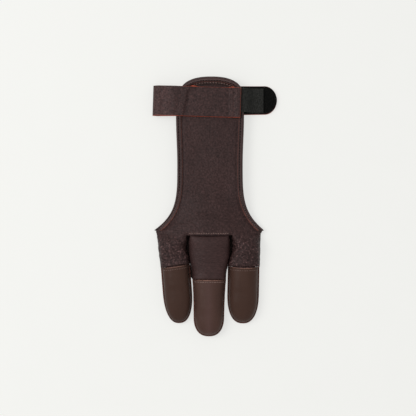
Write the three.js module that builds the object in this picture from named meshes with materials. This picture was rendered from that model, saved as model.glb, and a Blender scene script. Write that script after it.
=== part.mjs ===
// Three-finger archery glove of leather, empty, lying palm down with its wrist strap closed.
// Millimetres. X runs across the fingers, Y from the fingertips to the wrist, Z up from the
// surface that the glove lies on. The origin is the middle of that footprint.
import * as THREE from "three";
import { mergeVertices } from "three/addons/utils/BufferGeometryUtils.js";

// Leather, trim and the gap kept between pieces that are sewn or laid together
const backLeather = 1.5;
const palmLeather = 1.4;
const stallLeather = 1.8;
const bindingLeather = 1.0;
const strapLeather = 1.6;
const webbingThickness = 1.2;
const patchThickness = 1.2;
const clearance = 0.3;

// Back strip, from the knuckle hem to the top of the wrist arch
const stripWidth = 55.1;
const shoulderHeight = 116.0;
const archRise = 15.0;
const archOffset = 1.0;
const archNarrowing = 0.65;
const waistHeight = 58.0;
const wristSpread = 1.1;
const stripCrown = 0.8;
const bindingWidth = 4.4;

// Knuckles, where the strip flares into the backs of the fingers
const knuckleWidth = 88.0;
const wingSpread = 2.5;
const knuckleOffset = -1.05;
const flareStart = 2.5;
const flareEnd = 60;
const swellEnd = 39.6;
const knuckleHeight = 16.5;
const palmTop = 1.0;
const palmCrotch = 5.5;
const fingerGap = 1.7;
const crotchRun = 12;
const palmSlit = 0.6;
const hemOverlap = 4.0;
const webStart = 2.0;
const webEnd = 12.0;

// Fingers and their stalls
const seamWidth = 1.3;
const fingerReach = 86.4;
const stallWidth = 26.2;
const stallHeight = 14.0;
const stallOverlap = 6.0;
const stallEdgeStep = 0.8;
const stallSeamThickness = 1.6;

// Wrist strap, its tab and the closure on it
const strapWidth = 25.2;
const strapCentre = 112.3;
const strapFold = 48.1;
const strapFront = 73.9;
const strapTilt = 0.031;
const strapFoldHeight = 11.2;
const wristHollow = 6.0;
const tabWidth = 24.2;
const tabEnd = 56.7;
const tabRound = 10.5;
const tabRise = 0.65;
const patchStart = 22.5;
const patchMargin = 0.9;
const webbingWidth = 20.2;
const webbingCentre = 112.5;
const webbingStart = 19.0;
const webbingEnd = 45.1;
const webbingDrop = 9.5;
const drapeRun = 3.4;
const drapeSlack = 0.2;

// Fingers, from the left. crotch and x columns are shares of knuckleWidth, stall of stallWidth,
// mouth and tip of fingerReach, flare of the stall's own width, lift and seam of stallHeight,
// slant of the distance from its middle line, and dome of the stall's length.
const fingerTable = [
  { name: "ring", mouthX: -0.3325, tipX: -0.2895, stall: 0.945, flare: 1.0, mouth: 0.311, tip: 0.873,
    lift: 0.97, slant: 0.07, seam: 0.13, dome: 0.58 },
  { name: "middle", mouthX: -0.0075, tipX: -0.012, stall: 0.985, flare: 1.1, mouth: 0.4435, tip: 1.0,
    lift: 1.05, slant: 0.0, seam: 0.28, dome: 0.36 },
  { name: "index", mouthX: 0.3235, tipX: 0.3125, stall: 1.02, flare: 1.0, mouth: 0.319, tip: 0.876,
    lift: 1.0, slant: 0.0, seam: 0.13, dome: 0.53 },
];
const crotchShares = { left: -0.2145, right: 0.2035 };

// Stall outline: along is a share of the way from mouth to dome, settle of the way from the
// mouth's half width to the dome's, and height of the stall's height.
const stallProfile = [
  { along: 0.0, settle: 0, height: 0.99 },
  { along: 0.22, settle: 0.38, height: 1.0 },
  { along: 0.45, settle: 0.68, height: 1.01 },
  { along: 0.72, settle: 0.88, height: 1.0 },
  { along: 1.0, settle: 1.0, height: 0.95 },
];

// Squareness of the rounded forms: 2 is an ellipse, and more is fuller at the corners
const fingerSquareness = 2.3;
const endSquareness = 2.4;
const flarePower = 4;
const offsetPower = 8;

// Soft dents of the back: x is a share of half the local width, y of shoulderHeight, depth of
// backLeather, and the spans are shares of stripWidth.
const dentTable = [
  { x: 0.55, y: 0.30, depth: 0.45, spanX: 0.20, spanY: 0.42 },
  { x: -0.50, y: 0.55, depth: 0.40, spanX: 0.22, spanY: 0.50 },
  { x: 0.05, y: 0.16, depth: 0.50, spanX: 0.42, spanY: 0.12 },
  { x: -0.62, y: 0.10, depth: 0.40, spanX: 0.18, spanY: 0.14 },
];

// Mesh fineness
const archCells = 8;
const domeCells = 10;
const stripRows = 6;
const flareRows = 11;
const wristRows = 3;
const archEdgeCells = 18;
const fingerRows = 6;

const leatherColour = 0x3b2b2a;
const stallColour = 0x46332f;
const webbingColour = 0x292a29;
const patchColour = 0x121311;

// Numbers
const lerp = (a, b, t) => a + (b - a) * t;
const clamp01 = (t) => Math.min(1, Math.max(0, t));
const smooth = (from, to, value) => {
  const t = clamp01((value - from) / (to - from));
  return t * t * (3 - 2 * t);
};
const point = (x, y, z) => new THREE.Vector3(x, y, z);
const key = (p) => p.toArray().map((n) => Math.round(n * 1e4)).join(",");
const superCos = (angle, squareness) => {
  const c = Math.cos(angle);
  return Math.sign(c) * Math.abs(c) ** (2 / squareness);
};
const superSin = (angle, squareness) => Math.abs(Math.sin(angle)) ** (2 / squareness);

// A closed mesh from loose triangles: shared corners are merged and slivers of no area dropped.
function closedMesh(name, triangles, colour, roughness) {
  const soup = new THREE.BufferGeometry().setFromPoints(triangles.flat());
  const merged = mergeVertices(soup, 1e-4);
  const index = [];
  const source = merged.index.array;
  for (let i = 0; i < source.length; i += 3) {
    const [a, b, c] = [source[i], source[i + 1], source[i + 2]];
    if (a !== b && b !== c && c !== a) index.push(a, b, c);
  }
  const place = merged.getAttribute("position");
  const corner = (i) => new THREE.Vector3().fromBufferAttribute(place, index[i]);
  let volume = 0;
  for (let i = 0; i < index.length; i += 3) {
    volume += corner(i).dot(corner(i + 1).cross(corner(i + 2)));
  }
  if (volume < 0) index.reverse();
  merged.setIndex(index);
  merged.computeVertexNormals();
  const material = new THREE.MeshStandardMaterial({ color: colour, roughness, metalness: 0 });
  const mesh = new THREE.Mesh(merged, material);
  mesh.name = name;
  return mesh;
}

// Unit normals of a grid of points, with the stretch that keeps the wall's thickness at a bend.
function gridNormals(grid, keep) {
  const sums = new Map();
  const faces = new Map();
  const add = (p, normal) => {
    const id = key(p);
    if (!sums.has(id)) {
      sums.set(id, new THREE.Vector3());
      faces.set(id, []);
    }
    sums.get(id).add(normal);
    faces.get(id).push(normal.clone().normalize());
  };
  for (let r = 0; r + 1 < grid.length; r++) {
    for (let c = 0; c + 1 < grid[r].length; c++) {
      if (!keep(r, c)) continue;
      const corners = [grid[r][c], grid[r][c + 1], grid[r + 1][c + 1], grid[r + 1][c]];
      const first = corners[2].clone().sub(corners[0]);
      const second = corners[3].clone().sub(corners[1]);
      const normal = first.cross(second);
      if (normal.length() > 1e-9) corners.forEach((p) => add(p, normal));
    }
  }
  return (p) => {
    const id = key(p);
    if (!sums.has(id)) return { normal: point(0, 0, 1), stretch: 1 };
    const normal = sums.get(id).clone().normalize();
    const closest = Math.min(...faces.get(id).map((face) => face.dot(normal)));
    return { normal, stretch: 1 / Math.max(0.75, closest) };
  };
}

function offsetGrid(grid, distance, keep = () => true) {
  const normalAt = gridNormals(grid, keep);
  return grid.map((row, r) =>
    row.map((p) => {
      const { normal, stretch } = normalAt(p);
      return p.clone().addScaledVector(normal, distance(r) * stretch);
    }),
  );
}

// Triangles of a sheet of leather whose outer face is the grid. Cells that keep refuses are cut
// out, and every cut edge gets its own wall.
function sheetTriangles(grid, wall, keep = () => true) {
  const inner = offsetGrid(grid, () => -wall, keep);
  const triangles = [];
  const quad = (a, b, c, d) => triangles.push([a, b, c], [a, c, d]);
  const kept = (r, c) =>
    r >= 0 && c >= 0 && r + 1 < grid.length && c + 1 < grid[0].length && keep(r, c);
  for (let r = 0; r + 1 < grid.length; r++) {
    for (let c = 0; c + 1 < grid[r].length; c++) {
      if (!kept(r, c)) continue;
      quad(grid[r][c], grid[r][c + 1], grid[r + 1][c + 1], grid[r + 1][c]);
      quad(inner[r][c], inner[r + 1][c], inner[r + 1][c + 1], inner[r][c + 1]);
      const rim = (r0, c0, r1, c1) =>
        quad(grid[r0][c0], inner[r0][c0], inner[r1][c1], grid[r1][c1]);
      if (!kept(r - 1, c)) rim(r, c, r, c + 1);
      if (!kept(r + 1, c)) rim(r + 1, c + 1, r + 1, c);
      if (!kept(r, c - 1)) rim(r + 1, c, r, c);
      if (!kept(r, c + 1)) rim(r, c + 1, r + 1, c + 1);
    }
  }
  return triangles;
}

// Levels worked out from the stack of leather
const bindingReach = bindingLeather + clearance;
const stripTop = strapLeather + wristHollow + backLeather;
const seamTop = palmLeather + clearance + backLeather;
const panelHalf = stripWidth / 2 - bindingReach;
const cornerHalf = knuckleWidth / 2 + wingSpread - bindingReach;
const hemHalf = knuckleWidth / 2;

// Half width of the back strip, at a height y above the knuckle hem: it falls from the wings to a
// waist, spreads a little below the strap and narrows to the arch behind it
const strapLow = strapCentre - strapWidth / 2;
function stripHalf(y) {
  if (y <= 0) return hemHalf;
  if (y < flareStart) return lerp(hemHalf, cornerHalf, y / flareStart);
  const flare = (1 - clamp01((y - flareStart) / (flareEnd - flareStart))) ** flarePower;
  const spread = wristSpread * smooth(waistHeight, strapLow, y);
  const drawnIn = (wristSpread + archNarrowing) * smooth(strapLow, shoulderHeight, y);
  return panelHalf + (cornerHalf - panelHalf) * flare + spread - drawnIn;
}

// Middle of the back strip: off to one side at the knuckles, to the other at the arch
function stripMiddle(y) {
  const low = (1 - clamp01(y / flareEnd)) ** offsetPower;
  return knuckleOffset * low + archOffset * smooth(strapLow, shoulderHeight, y);
}

// Height of the back's outer face: a low crown at the wrist that swells over the knuckles
function backHeight(x, y) {
  const across = clamp01(Math.abs(x - stripMiddle(y)) / stripHalf(y));
  const rise = smooth(flareStart, swellEnd, y);
  const edge = lerp(seamTop, stripTop, rise);
  const crown = lerp(knuckleHeight, stripTop + stripCrown, rise);
  const dents = dentTable.reduce((sum, dent) => {
    const dx = (x - dent.x * stripHalf(y)) / (dent.spanX * stripWidth);
    const dy = (y - dent.y * shoulderHeight) / (dent.spanY * stripWidth);
    return sum + dent.depth * backLeather * Math.exp(-(dx * dx + dy * dy) * 2);
  }, 0);
  const inside = (1 - across ** 4) * smooth(-webStart, flareStart * 2, y);
  return edge + (crown - edge) * (1 - across ** 2.2) - dents * inside;
}

// Fingers at their real sizes, with the roots spread between the crotches
const crotch = {
  left: crotchShares.left * knuckleWidth,
  right: crotchShares.right * knuckleWidth,
};
const rootEdges = [
  [knuckleOffset - hemHalf, crotch.left - fingerGap / 2],
  [crotch.left + fingerGap / 2, crotch.right - fingerGap / 2],
  [crotch.right + fingerGap / 2, knuckleOffset + hemHalf],
];
const fingers = fingerTable.map((row, i) => {
  const mouth = row.mouth * fingerReach;
  const tip = row.tip * fingerReach;
  const mouthX = row.mouthX * knuckleWidth;
  const tipX = row.tipX * knuckleWidth;
  const half = (row.stall * stallWidth) / 2;
  return {
    name: row.name,
    rootX: (rootEdges[i][0] + rootEdges[i][1]) / 2,
    rootHalf: (rootEdges[i][1] - rootEdges[i][0]) / 2,
    outer: i - 1,
    mouth,
    mouthX,
    length: Math.hypot(tip - mouth, tipX - mouthX),
    angle: Math.atan2(tipX - mouthX, tip - mouth),
    half,
    mouthHalf: half * row.flare,
    height: row.lift * stallHeight,
    slant: row.slant,
    seam: row.seam * stallHeight,
    dome: row.dome,
  };
});

// Sections of one finger's leather at a depth below the hem. Inside the stall it is drawn in.
// A side next to another finger runs straight down from the crotch before it goes to the mouth.
function fingerSection(finger, depth) {
  const inStall = smooth(finger.mouth - stallEdgeStep, finger.mouth - clearance, depth);
  const free = clamp01(depth / finger.mouth);
  const turn = finger.angle * smooth(0, 1, free);
  const late = smooth(crotchRun, finger.mouth, depth);
  const [left, right] = [-1, 1].map((side) => {
    const root = finger.rootX + side * finger.rootHalf;
    return lerp(root, finger.mouthX + side * finger.mouthHalf, side === finger.outer ? free : late);
  });
  const centre = new THREE.Vector2((left + right) / 2, -free * finger.mouth);
  const inside = Math.max(0, depth - finger.mouth);
  centre.x += Math.sin(finger.angle) * inside;
  centre.y -= Math.cos(finger.angle) * inside;
  const outerHalf = (right - left) / 2;
  const narrowest = Math.min(finger.half, finger.mouthHalf);
  const tuckedHalf = narrowest - seamWidth - stallLeather - 2 * clearance;
  const palmLift = (stallLeather + clearance) *
    smooth(finger.mouth - stallOverlap, finger.mouth - clearance, depth);
  const outerCrown = lerp(knuckleHeight, finger.height - backLeather / 2, smooth(0, 0.9, free));
  const tuckedCrown = finger.height * 0.99 - stallLeather - 1.5 * clearance;
  return {
    centre,
    turn,
    half: lerp(outerHalf, tuckedHalf, inStall),
    seam: lerp(seamWidth, clearance, inStall),
    palm: palmLift,
    foot: palmLift + seamTop,
    crown: lerp(outerCrown, tuckedCrown, inStall),
    slant: finger.slant * smooth(finger.mouth - 2 * stallOverlap, finger.mouth, depth),
  };
}

// Stations across a finger: a flat seam, an arch and a flat seam
const archStations = Array.from({ length: archCells + 1 }, (_, i) => (Math.PI * i) / archCells);
const stationCount = archCells + 3;
function stationShare(i) {
  if (i === 0) return { side: -1, seam: 1, across: -1, lift: 0 };
  if (i === stationCount - 1) return { side: 1, seam: 1, across: 1, lift: 0 };
  const angle = archStations[i - 1];
  const across = -superCos(angle, fingerSquareness);
  return { side: Math.sign(across), seam: 0, across, lift: superSin(angle, fingerSquareness) };
}

// Point of the back's outer face in one finger's column, at y above (or below) the hem
function backPoint(finger, station, y) {
  const share = stationShare(station);
  const section = fingerSection(finger, Math.max(0, -y));
  const body = section.half - section.seam;
  const offset = share.seam ? share.side * section.half : share.across * body;
  const archZ = section.foot + (section.crown - section.foot) * share.lift;
  const shape = 1 - smooth(-webEnd, webStart, y);
  if (y >= 0) {
    const hemX = section.centre.x + offset;
    const across = (hemX - stripMiddle(0)) / hemHalf;
    const x = stripMiddle(y) + across * stripHalf(y);
    return point(x, y, lerp(backHeight(x, y), archZ, shape));
  }
  const x = section.centre.x + offset * Math.cos(section.turn);
  const along = section.centre.y + offset * (Math.sin(section.turn) + section.slant);
  return point(x, along, lerp(backHeight(x, 0), archZ, shape));
}

// Rows from the leather's end inside the stalls up to the wrist arch
function fingerDepths(finger) {
  const body = finger.mouth - stallEdgeStep;
  const free = Array.from({ length: fingerRows }, (_, i) => (body * (i + 1)) / fingerRows);
  return [finger.mouth + stallOverlap, finger.mouth - clearance, ...free.reverse()];
}
const flareHeights = Array.from(
  { length: flareRows },
  (_, i) => lerp(flareStart, flareEnd, i / (flareRows - 1)),
);
const stripHeights = Array.from(
  { length: stripRows },
  (_, i) => lerp(flareEnd, shoulderHeight, (i + 1) / stripRows),
);
const upperHeights = [0, ...flareHeights, ...stripHeights];

const archMiddle = stripMiddle(shoulderHeight);
const archHalf = stripHalf(shoulderHeight);
function wristPoint(p, share) {
  const across = clamp01(Math.abs(p.x - archMiddle) / archHalf);
  const reach = Math.max(0, 1 - across ** endSquareness) ** (1 / endSquareness);
  const y = shoulderHeight + archRise * share * reach;
  return point(p.x, y, backHeight(p.x, y));
}

function panelGrid() {
  const row = (heightOf) =>
    fingers.flatMap((finger) =>
      Array.from({ length: stationCount }, (_, i) => backPoint(finger, i, heightOf(finger))),
    );
  const lower = fingerDepths(fingers[0]).map((_, r) =>
    row((finger) => -fingerDepths(finger)[r]),
  );
  const upper = upperHeights.map((y) => row(() => y));
  const shoulder = upper[upper.length - 1];
  const arch = Array.from({ length: wristRows }, (_, i) =>
    shoulder.map((p) => wristPoint(p, (i + 1) / wristRows)),
  );
  return { grid: [...lower, ...upper, ...arch], hemRow: lower.length };
}

const isBetweenFingers = (c) => c === stationCount - 1 || c === 2 * stationCount - 1;
const isMiddle = (c) => c >= stationCount && c < 2 * stationCount - 1;

function backPanel() {
  const { grid, hemRow } = panelGrid();
  const keep = (r, c) => r >= hemRow || !(isMiddle(c) || isBetweenFingers(c));
  return closedMesh("back_panel", sheetTriangles(grid, backLeather, keep), leatherColour, 0.62);
}

// The middle finger's back starts under the panel's hem and ends inside its stall
function middleFingerBack() {
  const finger = fingers[1];
  const heights = [...fingerDepths(finger).map((d) => -d), 0, hemOverlap / 2, hemOverlap];
  const face = heights.map((y) =>
    Array.from({ length: stationCount }, (_, i) => backPoint(finger, i, y)),
  );
  const drop = (r) => -(backLeather + clearance) * smooth(-webEnd * 0.7, 0, heights[r]);
  const grid = offsetGrid(face, drop);
  return closedMesh(
    "middle_finger_back", sheetTriangles(grid, backLeather), leatherColour, 0.6,
  );
}

// Palm side of the fingers, flat on the ground and raised where the stalls hold it
function palmPanel() {
  const shares = [-1, -0.5, 0, 0.5, 1];
  const palmPoint = (finger, i, y) => {
    const section = fingerSection(finger, Math.max(0, -y));
    const tucked = section.seam < seamWidth * 0.9;
    const rootward = 1 - clamp01(-y / finger.mouth);
    const spare = tucked ? -2 * clearance : ((fingerGap - palmSlit) / 2) * rootward;
    const isOuter = (finger === fingers[0] && i === 0) || (finger === fingers[2] && i === 4);
    const reach = section.half + (isOuter && !tucked ? 0 : spare * Math.abs(shares[i]));
    const offset = shares[i] * reach;
    const x = section.centre.x + offset * Math.cos(section.turn);
    const along = section.centre.y + offset * (Math.sin(section.turn) + section.slant);
    return point(x, Math.max(0, y) + along, section.palm + palmLeather);
  };
  const lowerDepths = (finger) =>
    [...fingerDepths(finger).filter((d) => d > palmCrotch * 1.3), palmCrotch];
  const rowsBelow = Math.min(...fingers.map((finger) => lowerDepths(finger).length));
  const depthAt = (finger, r) => {
    const depths = lowerDepths(finger);
    return r === rowsBelow - 1 ? palmCrotch : depths[r];
  };
  const row = (heightOf) =>
    fingers.flatMap((finger) => shares.map((_, i) => palmPoint(finger, i, heightOf(finger))));
  const lower = Array.from({ length: rowsBelow }, (_, r) =>
    row((finger) => -depthAt(finger, r)),
  );
  const grid = [...lower, row(() => 0), row(() => palmTop)];
  const slit = (c) => c === shares.length - 1 || c === 2 * shares.length - 1;
  const keep = (r, c) => r >= rowsBelow - 1 || !slit(c);
  return closedMesh("palm_panel", sheetTriangles(grid, palmLeather, keep), leatherColour, 0.7);
}

// Closed-end stall. Each station round its outline holds a section from the crown out over the
// side seam and back under to the middle, and the hollow's section behind it.
function stall(finger) {
  const dome = finger.length * finger.dome;
  const barrel = finger.length - dome;
  const widthAt = (share) => {
    const after = stallProfile.findIndex((row) => row.along >= share);
    const to = stallProfile[Math.max(1, after)];
    const from = stallProfile[Math.max(1, after) - 1];
    const t = smooth(from.along, to.along, share);
    const settle = lerp(from.settle, to.settle, t);
    const height = finger.height * lerp(from.height, to.height, t);
    return { half: lerp(finger.mouthHalf, finger.half, settle), height };
  };
  const seamLow = finger.seam;
  const seamHigh = seamLow + stallSeamThickness;
  const section = (spine, direction, height) => {
    const reach = direction.length();
    const away = direction.clone().normalize();
    const at = (distance, z) =>
      point(spine.x + away.x * distance, spine.y + away.y * distance, z);
    const body = reach - seamWidth;
    const hollow = body - stallLeather;
    const corner = Math.min(body * 0.25, seamLow * 0.9);
    const steps = archCells / 2;
    const outer = [];
    const inner = [];
    for (let i = 0; i <= steps; i++) {
      const angle = (Math.PI / 2) * (1 - i / steps);
      const across = superCos(angle, fingerSquareness);
      const lift = superSin(angle, fingerSquareness);
      outer.push(at(body * across, seamHigh + (height - seamHigh) * lift));
      inner.push(at(hollow * across, seamHigh + (height - stallLeather - seamHigh) * lift));
    }
    outer.push(at(reach, seamHigh), at(reach, seamLow), at(body, seamLow));
    outer.push(at(body - corner, 0), at(0, 0));
    const low = stallLeather * 1.2;
    inner.push(at(hollow, seamHigh), at(hollow, low), at(hollow, low));
    inner.push(at(hollow - stallLeather * 0.2, stallLeather), at(0, stallLeather));
    return { outer, inner };
  };
  const stations = [];
  const straight = (share, side) => {
    const { half, height } = widthAt(share);
    const y = -share * barrel + side * half * finger.slant * (1 - share);
    const spineY = -share * barrel;
    const made = section(new THREE.Vector2(0, spineY), new THREE.Vector2(side * half, 0), height);
    const shift = (p) => {
      p.y += (y - spineY) * (Math.abs(p.x) / half);
      return p;
    };
    return { outer: made.outer.map(shift), inner: made.inner.map(shift) };
  };
  const rows = [0, 0.12, 0.25, 0.45, 0.7, 0.88];
  rows.forEach((share) => stations.push(straight(share, -1)));
  const end = widthAt(1);
  for (let i = 0; i <= domeCells; i++) {
    const angle = (Math.PI * i) / domeCells;
    const direction = new THREE.Vector2(
      -superCos(angle, endSquareness) * end.half,
      -superSin(angle, endSquareness) * dome,
    );
    stations.push(section(new THREE.Vector2(0, -barrel), direction, end.height));
  }
  [...rows].reverse().forEach((share) => stations.push(straight(share, 1)));

  const triangles = [];
  const quad = (a, b, c, d) => triangles.push([a, b, c], [a, c, d]);
  for (let s = 0; s + 1 < stations.length; s++) {
    const [one, two] = [stations[s], stations[s + 1]];
    for (let i = 0; i + 1 < one.outer.length; i++) {
      quad(one.outer[i], one.outer[i + 1], two.outer[i + 1], two.outer[i]);
      quad(one.inner[i], two.inner[i], two.inner[i + 1], one.inner[i + 1]);
    }
  }
  const [first, last] = [stations[0], stations[stations.length - 1]];
  for (let i = 0; i + 1 < first.outer.length; i++) {
    quad(first.outer[i], first.inner[i], first.inner[i + 1], first.outer[i + 1]);
    quad(last.outer[i], last.outer[i + 1], last.inner[i + 1], last.inner[i]);
  }
  const mesh = closedMesh(finger.name + "_stall", triangles, stallColour, 0.45);
  mesh.position.set(finger.mouthX, -finger.mouth, 0);
  mesh.rotation.z = finger.angle;
  return mesh;
}

// Plan outline of the panel's bound edge: left wing, up the side, round the arch and down again
function boundEdge() {
  const heights = [...flareHeights, ...stripHeights];
  const side = (sign) =>
    heights.map((y) => new THREE.Vector2(stripMiddle(y) + sign * stripHalf(y), y));
  const arch = Array.from({ length: archEdgeCells - 1 }, (_, i) => {
    const angle = (Math.PI * (i + 1)) / archEdgeCells;
    return new THREE.Vector2(
      archMiddle - archHalf * superCos(angle, endSquareness),
      shoulderHeight + archRise * superSin(angle, endSquareness),
    );
  });
  return [...side(-1), ...arch, ...side(1).reverse()];
}

// Distance from a plan point in to the panel's bound edge
function edgeDistance(x, y, edge) {
  let best = Infinity;
  const p = new THREE.Vector2(x, y);
  for (let i = 0; i + 1 < edge.length; i++) {
    const span = edge[i + 1].clone().sub(edge[i]);
    const t = clamp01(p.clone().sub(edge[i]).dot(span) / Math.max(1e-9, span.lengthSq()));
    best = Math.min(best, p.distanceTo(edge[i].clone().addScaledVector(span, t)));
  }
  return best;
}

const edgePath = boundEdge();

// Folded strip that wraps the bound edge: over the outer face, round the edge and under it
function panelBinding() {
  const faceNormal = (x, y) => {
    const step = 0.2;
    const slopeX = (backHeight(x + step, y) - backHeight(x - step, y)) / (2 * step);
    const slopeY = (backHeight(x, y + step) - backHeight(x, y - step)) / (2 * step);
    return point(-slopeX, -slopeY, 1).normalize();
  };
  const over = clearance;
  const under = -backLeather - 2 * clearance;
  const outline = [
    [bindingWidth, over + bindingLeather], [bindingWidth / 2, over + bindingLeather],
    [0, over + bindingLeather], [-bindingReach * 0.8, over + bindingLeather * 0.6],
    [-bindingReach, 0], [-bindingReach, -backLeather],
    [-bindingReach * 0.8, under - bindingLeather * 0.6], [0, under - bindingLeather],
    [bindingWidth / 2, under - bindingLeather], [bindingWidth, under - bindingLeather],
    [bindingWidth, under], [bindingWidth / 2, under], [-clearance, under],
    [-clearance, over], [bindingWidth / 2, over], [bindingWidth, over],
  ];
  const rings = edgePath.map((p, i) => {
    const before = edgePath[Math.max(0, i - 1)];
    const after = edgePath[Math.min(edgePath.length - 1, i + 1)];
    const along = after.clone().sub(before).normalize();
    const inward = new THREE.Vector2(along.y, -along.x);
    return outline.map(([distance, lift]) => {
      const held = Math.max(0, distance);
      const x = p.x + inward.x * held;
      const y = Math.max(flareStart, p.y + inward.y * held);
      const normal = faceNormal(x, y);
      const level = point(inward.x, inward.y, 0);
      const flat = level.addScaledVector(normal, -level.dot(normal)).normalize();
      const base = point(x, y, backHeight(x, y));
      return base.addScaledVector(flat, Math.min(0, distance)).addScaledVector(normal, lift);
    });
  });
  const triangles = [];
  const quad = (a, b, c, d) => triangles.push([a, b, c], [a, c, d]);
  for (let r = 0; r + 1 < rings.length; r++) {
    for (let i = 0; i < outline.length; i++) {
      const j = (i + 1) % outline.length;
      quad(rings[r][i], rings[r][j], rings[r + 1][j], rings[r + 1][i]);
    }
  }
  const contour = outline.map(([a, b]) => new THREE.Vector2(a, b));
  THREE.ShapeUtils.triangulateShape(contour, []).forEach(([a, b, c]) => {
    const [first, last] = [rings[0], rings[rings.length - 1]];
    const turned = THREE.ShapeUtils.isClockWise(contour);
    triangles.push(turned ? [first[a], first[b], first[c]] : [first[a], first[c], first[b]]);
    triangles.push(turned ? [last[a], last[c], last[b]] : [last[a], last[b], last[c]]);
  });
  return closedMesh("panel_binding", triangles, leatherColour, 0.6);
}

// Height of the top of the binding, or of the bare panel, at a plan point under the strap
function coveredHeight(x, y) {
  const distance = edgeDistance(x, y, edgePath);
  const inside = Math.abs(x) < panelHalf && y < shoulderHeight + archRise;
  const lapStart = bindingWidth + 2 * clearance;
  const hump = inside ? 1 - smooth(lapStart, bindingWidth + drapeRun, distance) : 1;
  const half = panelHalf + wristSpread;
  return backHeight(Math.sign(x) * Math.min(Math.abs(x), half), y) + drapeSlack +
    (clearance + bindingLeather) * hump;
}
const webbingTop = (x, y) => coveredHeight(x, y) + clearance + webbingThickness;

// Strap: its front run from the cut end to the fold, the fold, and the back run to the round tab
const lateral = [-1, -0.5, 0, 0.5, 1];
const foldRadius = strapFoldHeight / 2;
const foldX = -strapFold + foldRadius;
const roundStart = tabEnd - tabRound;
const backY = (x) => strapCentre + tabRise * clamp01((x - foldX) / (roundStart - foldX));
function wristStrap() {
  const frontEnd = -strapFold + strapFront;
  const rows = [];
  const frontY = (x) => strapCentre - strapTilt * (x + strapFold);
  const frontRow = (x) => {
    const y = frontY(x);
    return lateral.map((share) => {
      const across = y + (share * strapWidth) / 2;
      const lap = smooth(webbingStart - drapeRun, webbingStart - clearance, x);
      const stack = (webbingThickness + clearance) * lap;
      const over = coveredHeight(x, across) + clearance + drapeSlack + stack + strapLeather;
      const settle = smooth(-panelHalf - 2 * bindingReach - wristSpread, foldX, x);
      const height = lerp(over, strapFoldHeight, settle);
      return point(x + strapTilt * (across - y), across, height);
    });
  };
  const frontCells = 26;
  for (let i = 0; i <= frontCells; i++) {
    rows.push(frontRow(lerp(frontEnd, foldX, i / frontCells)));
  }
  const foldCells = 8;
  for (let i = 1; i <= foldCells; i++) {
    const angle = (Math.PI * i) / foldCells;
    const x = foldX - foldRadius * Math.sin(angle);
    const z = foldRadius + foldRadius * Math.cos(angle);
    const lean = strapTilt * (1 - smooth(0.5, 1, i / foldCells));
    const y = lerp(frontY(foldX), strapCentre, i / foldCells);
    rows.push(lateral.map((share) => {
      const across = (share * strapWidth) / 2;
      return point(x + lean * across, y + across, z);
    }));
  }
  const backRow = (x, width) =>
    lateral.map((share) => point(x, backY(x) + (share * width) / 2, 0));
  const backCells = 8;
  for (let i = 1; i <= backCells; i++) {
    const share = i / backCells;
    const width = lerp(strapWidth, tabWidth, smooth(0.4, 1, share));
    rows.push(backRow(lerp(foldX, roundStart, share), width));
  }
  const roundCells = 7;
  for (let i = 1; i <= roundCells; i++) {
    const angle = (Math.PI / 2) * (i / roundCells);
    rows.push(backRow(roundStart + tabRound * Math.sin(angle), tabWidth * Math.cos(angle)));
  }
  return closedMesh("wrist_strap", sheetTriangles(rows, strapLeather), leatherColour, 0.6);
}

// Patch on the tab's inner side, with the same round end set in by a margin
function closurePatch() {
  const level = strapLeather + clearance + patchThickness;
  const half = tabWidth / 2 - patchMargin;
  const round = tabRound - patchMargin;
  const row = (x, reach) => [1, 0.5, 0, -0.5, -1].map((share) =>
    point(x, backY(x) + share * reach, level));
  const rows = [row(patchStart, half), row(lerp(patchStart, roundStart, 0.5), half)];
  const roundCells = 7;
  for (let i = 0; i <= roundCells; i++) {
    const angle = (Math.PI / 2) * (i / roundCells);
    rows.push(row(roundStart + round * Math.sin(angle), half * Math.cos(angle)));
  }
  return closedMesh("closure_patch", sheetTriangles(rows, patchThickness), patchColour, 0.95);
}

// Elastic webbing from under the strap's cut end, over the bound edge and down onto the patch
function closureWebbing() {
  const landing = strapLeather + clearance + patchThickness + clearance + webbingThickness;
  const edgeOut = panelHalf + wristSpread + bindingReach;
  const rows = [];
  const cells = 22;
  for (let i = 0; i <= cells; i++) {
    const x = lerp(webbingStart, webbingEnd, i / cells);
    rows.push([1, 0.5, 0, -0.5, -1].map((share) => {
      const y = webbingCentre + (share * webbingWidth) / 2;
      const high = webbingTop(Math.min(x, panelHalf + wristSpread), y);
      const fall = smooth(edgeOut - clearance, edgeOut + webbingDrop, x);
      return point(x, y, lerp(high, landing, fall));
    }));
  }
  return closedMesh(
    "closure_webbing", sheetTriangles(rows, webbingThickness), webbingColour, 0.9,
  );
}

const glove = new THREE.Group();
glove.name = "archery_glove";
glove.add(
  backPanel(),
  middleFingerBack(),
  palmPanel(),
  ...fingers.map(stall),
  panelBinding(),
  wristStrap(),
  closurePatch(),
  closureWebbing(),
);

// The footprint's middle goes to the origin
const topEdge = shoulderHeight + archRise + bindingReach;
glove.position.set((strapFold - tabEnd) / 2, (fingerReach - topEdge) / 2, 0);

export default glove;
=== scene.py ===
# Three-finger archery glove of leather, empty, lying palm down with its wrist strap closed.
# Sizes are in millimetres, as in the part's source, and become metres where meshes are made.
import math
import random
import bpy
import bmesh
import numpy as np
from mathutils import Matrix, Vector, noise


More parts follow.
